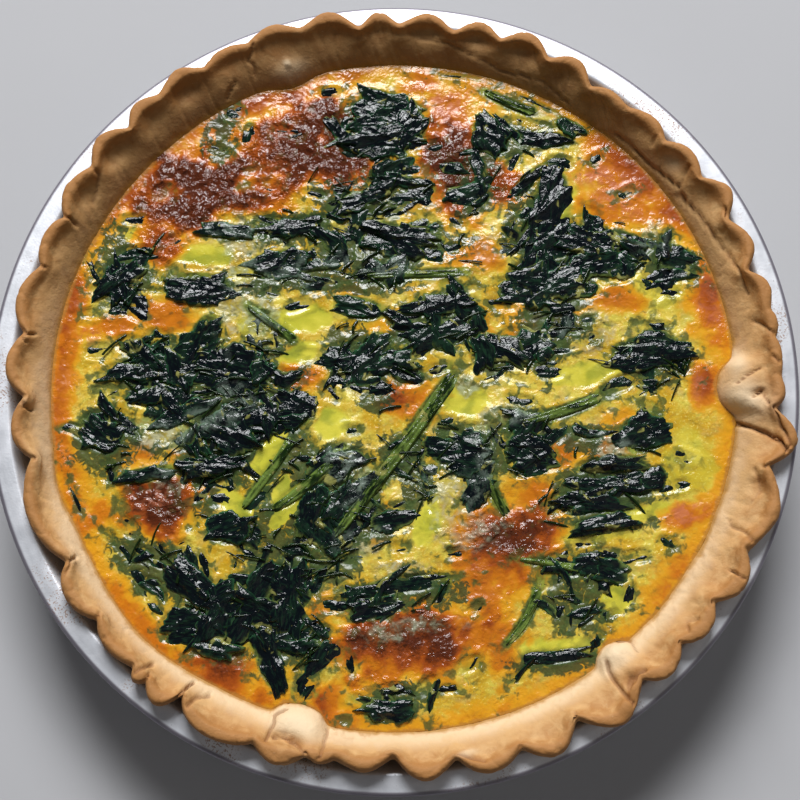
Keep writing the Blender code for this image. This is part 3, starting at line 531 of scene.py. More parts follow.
def closed_rings(name, x, y, z, first_z, last_z):
    """Joins rings of points, one to a row, and closes each end with a point on the axis."""
    rings, columns = z.shape
    step = np.arange(columns)
    after = np.roll(step, -1)
    ring = np.arange(rings - 1)[:, None] * columns
    quads = np.stack([ring + step, ring + columns + step, ring + columns + after, ring + after], -1)
    faces = quads.reshape(-1, 4).tolist()
    first, last_ring = rings * columns, (rings - 1) * columns
    for a, b in zip(step.tolist(), after.tolist()):
        faces += [(first, a, b), (first + 1, last_ring + b, last_ring + a)]
    points = np.concatenate([as_points(x, y, z), [(0.0, 0.0, first_z), (0.0, 0.0, last_z)]])
    return mesh_object(name, points, faces)


def patch_grid(rows, across):
    """Quads of a grid and its edge, anticlockwise seen from above."""
    index = np.arange((rows + 1) * (across + 1)).reshape(rows + 1, across + 1)
    quads = np.stack([index[:-1, :-1], index[1:, :-1], index[1:, 1:], index[:-1, 1:]], -1)
    rim = np.concatenate([index[:-1, 0], index[-1, :-1], index[:0:-1, -1], index[0, :0:-1]])
    return quads.reshape(-1, 4).tolist(), rim


def add_skirt(faces, rim, start):
    """Quads from an open edge down to the same number of points from start on."""
    for step, corner in enumerate(rim):
        after = (step + 1) % len(rim)
        faces.append((int(corner), start + step, start + after, int(rim[after])))


def square_grid(rows, across):
    """Lengthwise and crosswise place of each point of a grid, from -1 to 1."""
    return np.meshgrid(np.linspace(-1, 1, rows + 1), np.linspace(-1, 1, across + 1), indexing="ij")


def rounded_square(u, v):
    """Draws a square grid out to a round one."""
    return u * np.sqrt(1.0 - v ** 2 / 2.0), v * np.sqrt(1.0 - u ** 2 / 2.0)


# Tin

def make_tin():
    """Pan turned from its half section, from the inside of its floor to the underside."""
    bead_x, bead_z = TIN_RADIUS - TIN_BEAD_RADIUS, TIN_DEPTH - TIN_BEAD_RADIUS
    corner = TIN_FLOOR_RADIUS - TIN_SHEET - TIN_CORNER
    foot = tin_wall_radius(TIN_CORNER + TIN_SHEET)
    section = [(corner - 12.0, TIN_SHEET), (corner, TIN_SHEET)]
    for share in (0.3, 0.6, 0.85):
        section.append((blend(corner, foot, share), TIN_SHEET + TIN_CORNER * share ** 2.4))
    section.append((foot, TIN_CORNER + TIN_SHEET))
    section += [(tin_wall_radius(z), z) for z in np.linspace(7.0, TIN_DEPTH - 0.8, 8)]
    section += [(TIN_MOUTH_RADIUS + 0.1, TIN_DEPTH - 0.1), (TIN_MOUTH_RADIUS + 0.8, TIN_DEPTH),
                (bead_x - 1.6, TIN_DEPTH), (bead_x - 1.0, TIN_DEPTH - 0.08)]
    for turn in range(90, -151, -20):
        along = math.radians(turn)
        section.append((bead_x + TIN_BEAD_RADIUS * math.cos(along),
                        bead_z + TIN_BEAD_RADIUS * math.sin(along)))
    section.append((TIN_MOUTH_RADIUS + TIN_SHEET, TIN_DEPTH - TIN_SHEET))
    section += [(tin_wall_radius(z) + TIN_SHEET, z) for z in (TIN_DEPTH - 3.0, TIN_DEPTH / 2, TIN_CORNER)]
    section += [(corner + 1.6, 0.6), (corner, 0.0), (corner - 12.0, 0.0)]
    turn = np.arange(TIN_COLUMNS) * math.tau / TIN_COLUMNS
    radius, height = np.array(section).T[..., None]
    return closed_rings("tin", radius * np.cos(turn), radius * np.sin(turn), height + 0.0 * turn,
                        TIN_SHEET, 0.0)


# Pastry

def seen_place(x, y, z):
    """Angle and radius at which the camera sees each point on the rim's level."""
    eye_x, eye_y, eye_z = camera_axes()[3]
    share = (RIM_LEVEL - eye_z) / (z - eye_z)
    px = eye_x + (x - eye_x) * share
    py = eye_y + (y - eye_y) * share
    return np.degrees(np.arctan2(py, px)) % 360.0, np.hypot(px, py)


def crease_depth(angle, radius):
    """How deep the cracks and creases cut at each point of the shell."""
    depth = np.zeros_like(angle)
    wave = 0.5 * (cloud(np.radians(angle) * LIP_MEAN_RADIUS, radius, 1.6, 41, 2) - 0.5)
    for deep, width, *run in CREASES:
        for a0, r0, a1, r1 in zip(run[::2], run[1::2], run[2::2], run[3::2]):
            across = np.radians(toward(angle, (a0 + a1) / 2.0)) * radius + wave
            out = radius - (r0 + r1) / 2.0 + wave
            half = np.array([math.radians(a1 - a0) * (r0 + r1) / 2.0, r1 - r0]) / 2.0
            length = max(float(np.hypot(*half)), 0.01)
            along = (across * half[0] + out * half[1]) / length
            side = (out * half[0] - across * half[1]) / length
            gap = np.hypot(side, np.maximum(np.abs(along) - length, 0.0))
            depth = np.maximum(depth, deep * np.exp(-(gap / width) ** 2))
    return depth


def swell_at(angle, radius):
    """Rise of the swells and hollows and their paleness at each point of the shell."""
    rise, pale = np.zeros_like(angle), np.zeros_like(angle)
    for middle, reach, half_round, half_out, height, light in SWELLS:
        across = np.radians(toward(angle, middle)) * reach / half_round
        share = np.exp(-0.9 * np.hypot(across, (radius - reach) / half_out) ** 2.6)
        rise += height * share
        pale += light * share
    return rise, pale


def crust_controls(angle):
    """Radius and height of the section's control points, from the floor over the lip and back."""
    inward, lift = fold_at(angle)
    lip, bulge, height = lip_at(angle)
    even_lip = rounded(lip, 3.0)
    line = FILL_LINE_RADIUS - inward
    shoulder = SHOULDER_RADIUS + 0.3 * (even_lip - LIP_MEAN_RADIUS) - 0.85 * inward
    ridge = blend(rounded(lip, 0.9), even_lip, 0.15) - 4.3
    hang = np.minimum(lip - 0.5, tin_wall_radius(TIN_DEPTH) - 0.3)
    foot_z = TIN_CORNER + 2.0
    controls = [
        (CRUST_FLOOR_RADIUS, CRUST_FLOOR_TOP),
        (CRUST_FOOT_RADIUS, CRUST_FLOOR_TOP + CRUST_FOOT_RISE),
        (line - 4.5, 20.0),
        (line - 1.2, 25.4),
        (line, FILL_LINE_Z),
        (blend(line, shoulder, 0.45), 29.8 + 0.7 * lift),
        (shoulder, 32.2 + lift),
        (blend(shoulder, ridge, 0.62), 34.6 - 0.7 * bulge + 0.8 * lift),
        (ridge - 0.3, height - 2.0 - 0.9 * bulge + 0.3 * lift),
        (ridge + 0.6, height - 0.5),
        (lip - 2.3, height + 0.35),
        (lip - 0.7, height - 0.1),
        (lip + 0.25, height - 1.9),
        (lip - 0.1, 34.4),
        (lip - 0.7, 32.8),
        (hang, 32.5),
        (np.minimum(lip - 0.9, tin_wall_radius(30.0) - CLEARANCE), 30.0),
        (tin_wall_radius(23.0) - CLEARANCE, 23.0),
        (tin_wall_radius(foot_z) - CLEARANCE, foot_z),
        (TIN_FLOOR_RADIUS - TIN_SHEET - TIN_CORNER - CLEARANCE, TIN_SHEET + CLEARANCE),
    ]
    return np.array([[radius + 0.0 * angle, z + 0.0 * angle] for radius, z in controls])


def spline(controls, shares):
    """Cubic B-spline through control points, one row for each share of the way."""
    rows = []
    last = len(controls) - 1
    for share in shares:
        cell = min(int(share), last - 1)
        t = share - cell
        weights = ((1 - t) ** 3 / 6, (3 * t ** 3 - 6 * t ** 2 + 4) / 6,
                   (-3 * t ** 3 + 3 * t ** 2 + 3 * t + 1) / 6, t ** 3 / 6)
        picks = [min(max(cell + step, 0), last) for step in (-1, 0, 1, 2)]
        rows.append(sum(w * controls[p] for w, p in zip(weights, picks)))
    return np.array(rows)


def make_crust():
    """Pastry shell with its pinched edge, folds, creases and dry uneven skin."""
    angle = np.arange(CRUST_COLUMNS) * 360.0 / CRUST_COLUMNS
    controls = crust_controls(angle)
    shown_from, shown_to = CRUST_SHOWN
    low_inside = np.linspace(0.0, shown_from, 5)[:-1]
    shown = np.linspace(shown_from, shown_to, CRUST_ROWS - 9)
    low_outside = np.linspace(shown_to, len(controls) - 1.0, 6)[1:]
    rows = spline(controls, np.concatenate([low_inside, shown, low_outside]))
    radius, height = rows[:, 0], rows[:, 1]
    angles = np.broadcast_to(angle, radius.shape)
    turn = np.radians(angles)
    x, y = radius * np.cos(turn), radius * np.sin(turn)
    out = np.gradient(height, axis=0)
    up = -np.gradient(radius, axis=0)
    size = np.maximum(np.hypot(out, up), 1e-6)
    shown_share = smooth_step(26.0, 28.5, height) * (radius < LIP_LIMIT - 0.2)
    upward = smooth_step(-0.85, -0.4, out / size)
    seen_angle, seen_radius = seen_place(x, y, height)
    crease_cut_and_shade = crease_depth(seen_angle, seen_radius) * upward
    rise, paleness = swell_at(seen_angle, seen_radius)
    uneven = 0.40 + 0.9 * smooth_step(296.0, 312.0, angles) * smooth_step(352.0, 338.0, angles)
    dough = uneven * (cloud(x + 0.8 * height, y - 0.6 * height, 6.0, 31) - 0.5)
    dough += 0.22 * (cloud(x - 0.7 * height, y + 0.9 * height, 2.2, 37) - 0.5)
    dough -= 0.25 * np.maximum(creased(x + 0.5 * height, y - height, 5.0, 39) - 0.75, 0.0) / 0.25
    push = shown_share * (dough - 0.12 - crease_cut_and_shade + rise * upward)
    radius = radius - push * out / size
    height = height - push * up / size
    height = np.where(height > LIP_HEIGHT, blend(LIP_HEIGHT, height, 0.45), height)
    piece = closed_rings("pastry_shell", radius * np.cos(turn), radius * np.sin(turn), height,
                         CRUST_FLOOR_TOP, TIN_SHEET + CLEARANCE)
    lip, bulge, lip_height = lip_at(angle)
    ridge = smooth_step(-3.4, -0.3, height - lip_height) * smooth_step(-6.5, -1.5, radius - lip)
    pale = np.clip(paleness, 0.0, 1.0)
    # The near wall, which faces the lamp
    near = np.exp(-(toward(angles, 262.0) / 84.0) ** 4)
    set_values(piece, {
        # Toast on the ridge and outside, plus the hollows painted darker as shade
        "toast_and_hollow_shade": ridge * (0.45 + 0.4 * bulge) + 0.4 * smooth_step(107.5, 112.5, seen_radius)
        - 0.8 * np.minimum(paleness, 0.0),
        # The creases' depth, also painted darker in the material as shade
        "crease_cut_and_shade": crease_cut_and_shade,
        # Painted shade in the dished scoop behind each bulging ridge
        "painted_scoop_shade": bulge * smooth_step(33.0, 36.0, height) * (1.0 - ridge),
        "soaked": np.exp(-np.abs(height - FILL_LINE_Z) / 1.1) * (1.0 - pale),
        "pale": pale,
        # Cream low on the wall: pale pastry all round, and more of it on the near wall as painted light
        "cream_and_painted_light": (0.3 + 0.7 * near) * smooth_step(111.5, 103.0, seen_radius),
        # Browner on the far wall: partly real toasting, partly painted shade where that wall faces away from
        # the lamp
        "far_wall_toast_and_shade": np.exp(-(toward(angles, 98.0) / 72.0) ** 4),
    }, spare=2)
    return piece


# Spinach

def torn_outline(around, draw, corners):
    """Reach of a torn edge in each direction, about 1, with straight runs between corners."""
    turns = np.array([(i + draw.uniform(-0.4, 0.4)) * math.tau / corners for i in range(corners)])
    reaches = np.array([draw.choice((draw.uniform(0.6, 0.85), draw.uniform(0.9, 1.25)))
                        for _ in range(corners)])
    reaches = reaches * (np.abs(np.cos(turns)) ** 2.3 + np.abs(np.sin(turns)) ** 2.3) ** (-1.0 / 2.3)
    around = (around - turns[0]) % math.tau
    begins = turns - turns[0]
    index = np.clip(np.searchsorted(begins, around, "right") - 1, 0, corners - 1)
    after = (index + 1) % corners
    ends = np.where(after == 0, math.tau, begins[after])
    x0, y0 = reaches[index] * np.cos(begins[index]), reaches[index] * np.sin(begins[index])
    x1, y1 = reaches[after] * np.cos(ends), reaches[after] * np.sin(ends)
    ex, ey = x1 - x0, y1 - y0
    reach = (x0 * ey - y0 * ex) / (np.cos(around) * ey - np.sin(around) * ex)
    drift = draw.uniform(0.0, 90.0)
    nicks = lattice_noise(2.6 * np.cos(around), 2.6 * np.sin(around) + drift, 0.34, 54)
    frills = lattice_noise(2.6 * np.cos(around) - drift, 2.6 * np.sin(around), 0.15, 58)
    return reach * (0.885 + 0.2 * nicks + 0.07 * frills)


def on_pie(row, s, t):
    """Place on the pie of each point s along and t across a piece."""
    px, py = turned(s, t, math.radians(row[4]))
    return row[0] + px, row[1] + py


def bedded(px, py, z, **values):
    """Points, faces and values of a patch, its open edge closed by a skirt sunk in the filling."""
    faces, rim = patch_grid(z.shape[0] - 1, z.shape[1] - 1)
    points = as_points(px, py, z)
    low = points[rim]
    low[:, 2] = filling_height(low[:, 0], low[:, 1]) - SKIRT_DEPTH
    start = len(points)
    add_skirt(faces, rim, start)
    faces.append(list(range(start + len(rim) - 1, start - 1, -1)))
    values["film"] = patch_mask(px, py, "cheesy")
    return np.concatenate([points, low]), faces, {
        key: np.append(value.ravel(), value.ravel()[rim]) for key, value in values.items()}


def leaf_patch(row, seed, spacing, grow=1.0, lift=0.0, height=1.5, drown=0.0):
    """Wrinkled wet leaf bedded in the filling, as points, faces and values."""
    length, width, bow = row[2] * grow, row[3] * grow, row[5]
    draw = random.Random(seed)
    u, v = rounded_square(*square_grid(max(8, int(length / spacing)), max(8, int(width / spacing))))
    reach = torn_outline(np.arctan2(v, u), draw, int(8 + min(length, 30.0) / 3.0))
    centre = np.hypot(u, v)
    s = u * reach * length / 2.0
    t = v * reach * width / 2.0
    local = np.hypot(s, t) / np.maximum(centre, 1e-3)
    edge = (1.0 - centre) * np.where(centre > 1e-3, local, width / 2.0)
    edge = np.minimum(edge, (1.0 - np.abs(v)) * width / 2.0 + 0.05)
    t = t + bow * length / 2.0 * (u ** 2 - 0.33)
    px, py = on_pie(row, s, t)
    shift = draw.uniform(0.0, 400.0)
    sink = smooth_step(0.42, 0.72, lattice_noise(px, py + shift, 5.0, 57)) * (1.0 - drown) + drown
    rise = 1.0 - np.exp(-edge / (0.16 + 0.9 * sink))
    body = np.full(s.shape, 0.34 * height)
    for _ in range(2 + int(length > 7.0) + int(length > 13.0) + int(width > 9.0)):
        lean = draw.gauss(0.0, 0.4)
        offset = draw.uniform(-0.38, 0.38) * width
        away = t * math.cos(lean) - s * math.sin(lean) - offset
        away += 1.3 * (cloud(s + shift, t - offset, 5.0, 59, 2) - 0.5)
        steep = draw.uniform(0.35, 0.9)
        side = np.where(away > 0.0, away * draw.uniform(0.4, 1.0), -away)
        body += draw.choice((-0.3, 0.3, 0.5)) * np.exp(-side / steep)
    body += 0.3 * draw.gauss(0.0, 1.0) * s / length + 0.3 * draw.gauss(0.0, 1.0) * t / width
    body += 0.75 * (cloud(s / 1.7 + shift, t, 4.6, 68, 1) - 0.5)
    body += 0.26 * (cloud(s / 4.5 + shift, t + 0.2 * s, 0.95, 66, 2) - 0.5)
    z = filling_height(px, py) - 0.1 - 0.3 * sink + lift + rise * np.maximum(body, 0.18)
    return bedded(px, py, z, thin=np.exp(-edge / 0.7), along=s, across=t,
                  tone=np.full(s.shape, draw.random()), sunk=sink * np.exp(-edge / 1.3))


def stem_patch(row, seed, spacing):
    """Ribbed stalk lying on the filling, as points, faces and values."""
    length, width, _, bow = row[2:]
    draw = random.Random(seed)
    u, v = square_grid(int(length / spacing), max(10, int(width / spacing * 1.4)))
    flat = 0.0 * u
    end = np.maximum(1.0 - np.abs(u) ** 24, 0.0) ** 0.5
    frayed = 1.0 + 0.10 * (lattice_noise(u * length / 7.0, flat + draw.uniform(0, 50), 1.0, 55) - 0.5)
    splay = smooth_step(0.45, 1.0, u)
    half = width / 2.0 * end * (0.80 + 0.14 * u + 0.22 * splay) * frayed
    s = u * length / 2.0 + 0.7 * np.abs(u) ** 8 * (lattice_noise(v * 2.0, flat, 0.5, seed) - 0.5) * width
    wander = 0.5 * (lattice_noise(s / 16.0, flat + draw.uniform(0, 50), 1.0, 56) - 0.5)
    t = v * half + bow * length / 2.0 * (u ** 2 - 0.33) + wander
    px, py = on_pie(row, s, t)
    arch = np.maximum(1.0 - v ** 4, 0.0) ** 0.5 * end
    strands = creased(s / 9.0 + draw.uniform(0, 50), t + 0.3 * np.sin(s / 5.0), 1.5, 61)
    ribs = cloud(s / 12.0 + draw.uniform(0, 50), v * 4.0, 0.8, 65, 2) - 0.5
    body = arch * (1.0 - 0.35 * splay) * (0.35 + 0.11 * width + 0.35 * np.abs(strands) ** 1.3)
    body += arch * (0.7 * ribs + 0.5 * (cloud(s / 3.0, t, 2.2, 63, 2) - 0.5))
    return bedded(px, py, filling_height(px, py) - 0.2 + body, thin=1.0 - strands * arch, along=s, across=t,
                  tone=np.full(s.shape, draw.random()), sunk=(1.0 - arch) * 0.6)


def joined_piece(name, patches):
    """One object from many patches."""
    faces, start = [], 0
    for patch_points, patch_faces, _ in patches:
        faces += [[corner + start for corner in face] for face in patch_faces]
        start += len(patch_points)
    piece = mesh_object(name, np.concatenate([patch[0] for patch in patches]), faces)
    set_values(piece, {key: np.concatenate([patch[2][key] for patch in patches]) for key in patches[0][2]})
    return piece


def in_pool(x, y):
    """True where open custard shows between the leaves."""
    for px, py, half_length, half_width, turn, strength in POOLS:
        along, across = turned(x - px, y - py, -math.radians(turn))
        away = math.hypot(along / (half_length + POOL_MARGIN), across / (half_width + POOL_MARGIN))
        if strength > 0.5 and away < 1.0:
            return True
    return False


def thicket_rows(count, seed, lengths, widths, spread, least):
    """Torn pieces strewn by a seeded draw where the spinach lies thick."""
    draw = random.Random(seed)
    places = [patch for patch in THICKETS if min(patch[2], patch[3]) >= least]
    weights = [patch[2] * patch[3] for patch in places]
    rows = []
    while len(rows) < count:
        patch = draw.choices(places, weights)[0]
        reach = math.sqrt(draw.random())
        around = draw.uniform(0.0, math.tau)
        px, py = on_pie(patch, reach * patch[2] * math.cos(around), reach * patch[3] * math.sin(around))
        length = draw.uniform(*lengths)
        width = min(draw.uniform(*widths), 0.7 * length)
        facing = patch[4] + draw.gauss(8.0, spread)
        if math.hypot(px, py) < FILL_LINE_RADIUS - THICKET_MARGIN and not in_pool(px, py):
            rows.append((px, py, length, width, facing, draw.uniform(-0.35, 0.35)))
    return rows


def make_node(tree, kind, settings, sockets):
    """Makes a node: its settings first, then its sockets' values or links."""
    node = tree.nodes.new(kind)
    for key, value in settings.items():
        setattr(node, key, value)
    for key, value in sockets.items():
        if isinstance(value, bpy.types.NodeSocket):
            tree.links.new(value, node.inputs[key])
        else:
            node.inputs[key].default_value = value
    return node


def thread_tree(material):
    """Nodes that strew short bent threads over a ground and lay them on it."""
    tree = bpy.data.node_groups.new("strewn_threads", "GeometryNodeTree")
    kinds = {"Ground": "NodeSocketGeometry", "Seed": "NodeSocketInt"}
    inputs = {name: tree.interface.new_socket(
        name, in_out="INPUT", socket_type=kinds.get(name, "NodeSocketFloat")).identifier
        for name in ("Ground", *THREAD_SIZES)}
    tree.interface.new_socket("Threads", in_out="OUTPUT", socket_type="NodeSocketGeometry")
    given = tree.nodes.new("NodeGroupInput").outputs

    def made(kind, sockets, **settings):
        return make_node(tree, kind, settings, sockets).outputs[0]

    def times(first, second):
        return made("ShaderNodeMath", {0: first, 1: second}, operation="MULTIPLY")

    def drawn(low, high):
        return made("FunctionNodeRandomValue", {"Min": low, "Max": high, "Seed": given["Seed"]},
                    data_type="FLOAT_VECTOR")

    def point(**parts):
        return made("ShaderNodeCombineXYZ", parts)

    thick = made("GeometryNodeInputNamedAttribute", {"Name": "thicket"}, data_type="FLOAT")
    spots = made("GeometryNodeDistributePointsOnFaces", {
        "Mesh": given["Ground"], "Density": times(thick, given["Threads per Square Metre"]),
        "Seed": given["Seed"]})
    path = made("GeometryNodeCurveQuadraticBezier", {
        "Resolution": 6, "Start": point(X=times(given["Thread Length"], -0.5)),
        "Middle": point(Y=given["Bend"], Z=given["Bend"]),
        "End": point(X=times(given["Thread Length"], 0.5))})
    ring = made("GeometryNodeCurvePrimitiveCircle", {"Resolution": 6, "Radius": given["Thread Radius"]})
    thread = made("GeometryNodeCurveToMesh", {"Curve": path, "Profile Curve": ring, "Fill Caps": True})
    facing = made("FunctionNodeEulerToRotation", {"Euler": drawn((-0.3, -0.25, -0.9), (0.3, 0.25, 1.3))})
    strewn = made("GeometryNodeInstanceOnPoints", {
        "Points": spots, "Instance": thread, "Rotation": facing,
        "Scale": drawn((0.4, 0.5, 0.5), (1.3, 1.4, 0.9))})
    solid = made("GeometryNodeRealizeInstances", {"Geometry": strewn})
    smooth = made("GeometryNodeSetShadeSmooth", {"Geometry": solid})
    named = made("GeometryNodeSetMaterial", {"Geometry": smooth, "Material": material})
    tree.links.new(named, tree.nodes.new("NodeGroupOutput").inputs[0])
    return tree, inputs


def strewn_threads(material):
    """Fine loose strands where the spinach lies thick, as one plain mesh."""
    v, u = square_grid(THREAD_CELLS, THREAD_CELLS)
    x, y = (THREAD_REACH * side for side in rounded_square(u, v))
    ground = mesh_object("thread_ground", as_points(x, y, filling_height(x, y) + THREAD_LIFT),
                         patch_grid(THREAD_CELLS, THREAD_CELLS)[0])
    set_values(ground, {"thicket": patch_mask(x, y, "thicket")})
    tree, inputs = thread_tree(material)
    modifier = ground.modifiers.new("strewn_threads", "NODES")
    modifier.node_group = tree
    for name, value in THREAD_SIZES.items():
        modifier[inputs[name]] = value
    evaluated = ground.evaluated_get(bpy.context.evaluated_depsgraph_get())
    piece = placed("spinach_threads", bpy.data.meshes.new_from_object(evaluated))
    ground.modifiers.remove(modifier)
    bpy.data.objects.remove(ground)
    return piece


# Filling

def leaf_gap(x, y, rows):
    """Distance from each point to the nearest piece's edge, under 0 inside it."""
    nearest = np.full(x.shape, 9.0)
    for px, py, length, width, turn, bow in rows:
        reach = length / 2.0 + 9.0
        near = np.nonzero((np.abs(x - px) < reach) & (np.abs(y - py) < reach))
        along, across = turned(x[near] - px, y[near] - py, -math.radians(turn))
        along = along / (length / 2.0)
        across = (across - bow * length / 2.0 * (along ** 2 - 0.33)) / (width / 2.0)
        spread = (np.abs(along) ** 3 + np.abs(across) ** 3) ** (1.0 / 3.0)
        nearest[near] = np.minimum(nearest[near], (spread - 1.0) * width / 2.0)
    return nearest


def make_filling(large_rows, small_rows):
    """Baked custard with its browned cheese, bedded leaves and bubbled skin."""
    v, u = square_grid(FILL_CELLS, FILL_CELLS)
    u, v = rounded_square(u, v)
    line = FILL_LINE_RADIUS - fold_at(np.degrees(np.arctan2(v, u)) % 360.0)[0]
    x, y = u * (line + 0.4), v * (line + 0.4)
    away = np.hypot(x, y)
    masks = {name: patch_mask(x, y, name) for name in MASKS}
    scorched, cheesy = masks["scorched"], masks["cheesy"]
    gap_large = leaf_gap(x, y, large_rows)
    gap = np.minimum(gap_large, leaf_gap(x, y, small_rows))
    clear, clear_large = np.maximum(gap, 0.0), np.maximum(gap_large, 0.0)
    bubbles = cloud(x, y, 4.2, 93, 2) - 0.5
    grain = cloud(x, y, 1.7, 97, 2) - 0.5
    rough = np.clip(0.5 + 0.8 * scorched + 0.5 * cheesy - 0.6 * masks["pool"], 0.15, 1.4)
    relief = 0.6 * (cloud(x, y, 9.0, 99, 2) - 0.5) + rough * (0.8 * bubbles + 0.35 * grain)
    relief += scorched * (0.25 + 0.5 * (creased(x, y, 2.8, 103) - 0.5))
    relief += 0.35 * cheesy * creased(x, y, 3.6, 101) + 0.15 * masks["toasted"]
    relief += 0.3 * np.exp(-((gap - 0.5) / 0.7) ** 2)
    relief = blend(relief, -0.25, smooth_step(0.0, -0.8, gap))
    relief = blend(relief, -0.6, smooth_step(-0.8, -2.2, gap_large))
    z = filling_height(x, y) + relief * (0.25 + 0.75 * smooth_step(line, line - 2.5, away))
    # Here x runs along the columns, so that the faces are turned over
    faces, rim = patch_grid(FILL_CELLS, FILL_CELLS)
    faces, rim = [(a, d, c, b) for a, b, c, d in faces], rim[::-1]
    top = as_points(x, y, z)
    foot_z = CRUST_FLOOR_TOP + CLEARANCE
    shrink = (CRUST_FLOOR_RADIUS - CLEARANCE) / np.hypot(top[rim, 0], top[rim, 1])
    low = as_points(top[rim, 0] * shrink, top[rim, 1] * shrink, foot_z + 0.0 * shrink)
    start, count = len(top), len(rim)
    add_skirt(faces, rim, start)
    faces += [(start + (step + 1) % count, start + step, start + count) for step in range(count)]
    piece = mesh_object("baked_filling", np.concatenate([top, low, [(0.0, 0.0, foot_z)]]), faces)
    set_values(piece, {
        **masks,
        "stain": np.clip(0.6 * np.exp(-clear_large / 0.9) + 0.5 * np.exp(-clear / 0.5), 0.0, 1.0),
        "near": np.exp(-clear / 2.5),
        "rind": smooth_step(line - 9.0, line - 1.0, away),
        "brim": np.exp(-np.maximum(line - away, 0.0) / 1.2),
    }, spare=count + 1)
    return piece


# Materials

class Wire:
    """A value in a material's node tree that Python's operators work on."""

    def __init__(self, bench, socket):
        self.bench = bench
        self.socket = socket

    def _math(self, operation, first, second):
        return self.bench.wire("ShaderNodeMath", {"operation": operation}, {0: first, 1: second})

    def __add__(self, other):
        return self._math("ADD", self, other)

    def __radd__(self, other):
        return self._math("ADD", other, self)

    def __sub__(self, other):
        return self._math("SUBTRACT", self, other)

    def __rsub__(self, other):
        return self._math("SUBTRACT", other, self)

    def __mul__(self, other):
        return self._math("MULTIPLY", self, other)

    def __rmul__(self, other):
        return self._math("MULTIPLY", other, self)

    def __pow__(self, other):
        return self._math("POWER", self, other)


class Bench:
    """One material and the short words that build its node tree."""

    def __init__(self, name):
        self.material = bpy.data.materials.new(name)
        self.material.use_nodes = True
        self.tree = self.material.node_tree
        self.tree.nodes.clear()
        place = self.wire("ShaderNodeTexCoord", {}, {}, "Object")
        self.place = self.wire("ShaderNodeVectorMath", {"operation": "SCALE"}, {0: place, "Scale": 1.0 / MM})

    def add(self, kind, settings, sockets):
        """Makes a node from its settings and its sockets' values or wires."""
        sockets = {key: value.socket if isinstance(value, Wire) else value for key, value in sockets.items()}
        return make_node(self.tree, kind, settings, sockets)

    def wire(self, kind, settings, sockets, output=0):
        """Makes a node and gives one of its outputs."""
        return Wire(self, self.add(kind, settings, sockets).outputs[output])

    def value(self, name):
        """A number that the mesh carries at each point."""
        return self.wire("ShaderNodeAttribute", {"attribute_name": name}, {}, "Fac")

    def noise(self, size, detail=2.0, place=None, twist=0.0):
        """Noise with bumps about size millimetres across."""
        return self.wire("ShaderNodeTexNoise", {}, {
            "Vector": place or self.place, "Scale": 1.0 / size, "Detail": detail, "Distortion": twist}, "Fac")

    def cells(self, size):
        """Distance from the middles of round cells about size millimetres apart."""
        return self.wire("ShaderNodeTexVoronoi", {}, {"Vector": self.place, "Scale": 1.0 / size}, "Distance")

    def step(self, low, high, value):
        """0 below low, 1 above high and a soft change between."""
        return self.wire("ShaderNodeMapRange", {"interpolation_type": "SMOOTHSTEP"}, {
            "Value": value, "From Min": low, "From Max": high, "To Min": 0.0, "To Max": 1.0}, "Result")

    def paint(self, colour):
        return colour if isinstance(colour, Wire) else (*colour, 1.0)

    def tint(self, share, first, second):
        """Mixes two colours."""
        return self.wire("ShaderNodeMix", {"data_type": "RGBA"}, {
            0: share, 6: self.paint(first), 7: self.paint(second)}, 2)

    def coats(self, colour, *layers):
        """Lays colours over one another, each as strong as its share."""
        for share, tint in layers:
            colour = self.tint(share, colour, tint)
        return colour

    def bump(self, height, distance):
        return self.wire("ShaderNodeBump", {}, {
            "Height": height, "Distance": distance * MM, "Strength": 1.0}, "Normal")

    def finish(self, colour, roughness, normal, **fixed):
        """Ends the tree in one shader and its output."""
        sockets = {"Base Color": self.paint(colour), "Roughness": roughness, "Normal": normal}
        sockets.update({key.replace("_", " "): value for key, value in fixed.items()})
        surface = self.wire("ShaderNodeBsdfPrincipled", {}, sockets)
        self.add("ShaderNodeOutputMaterial", {}, {"Surface": surface})
        return self.material


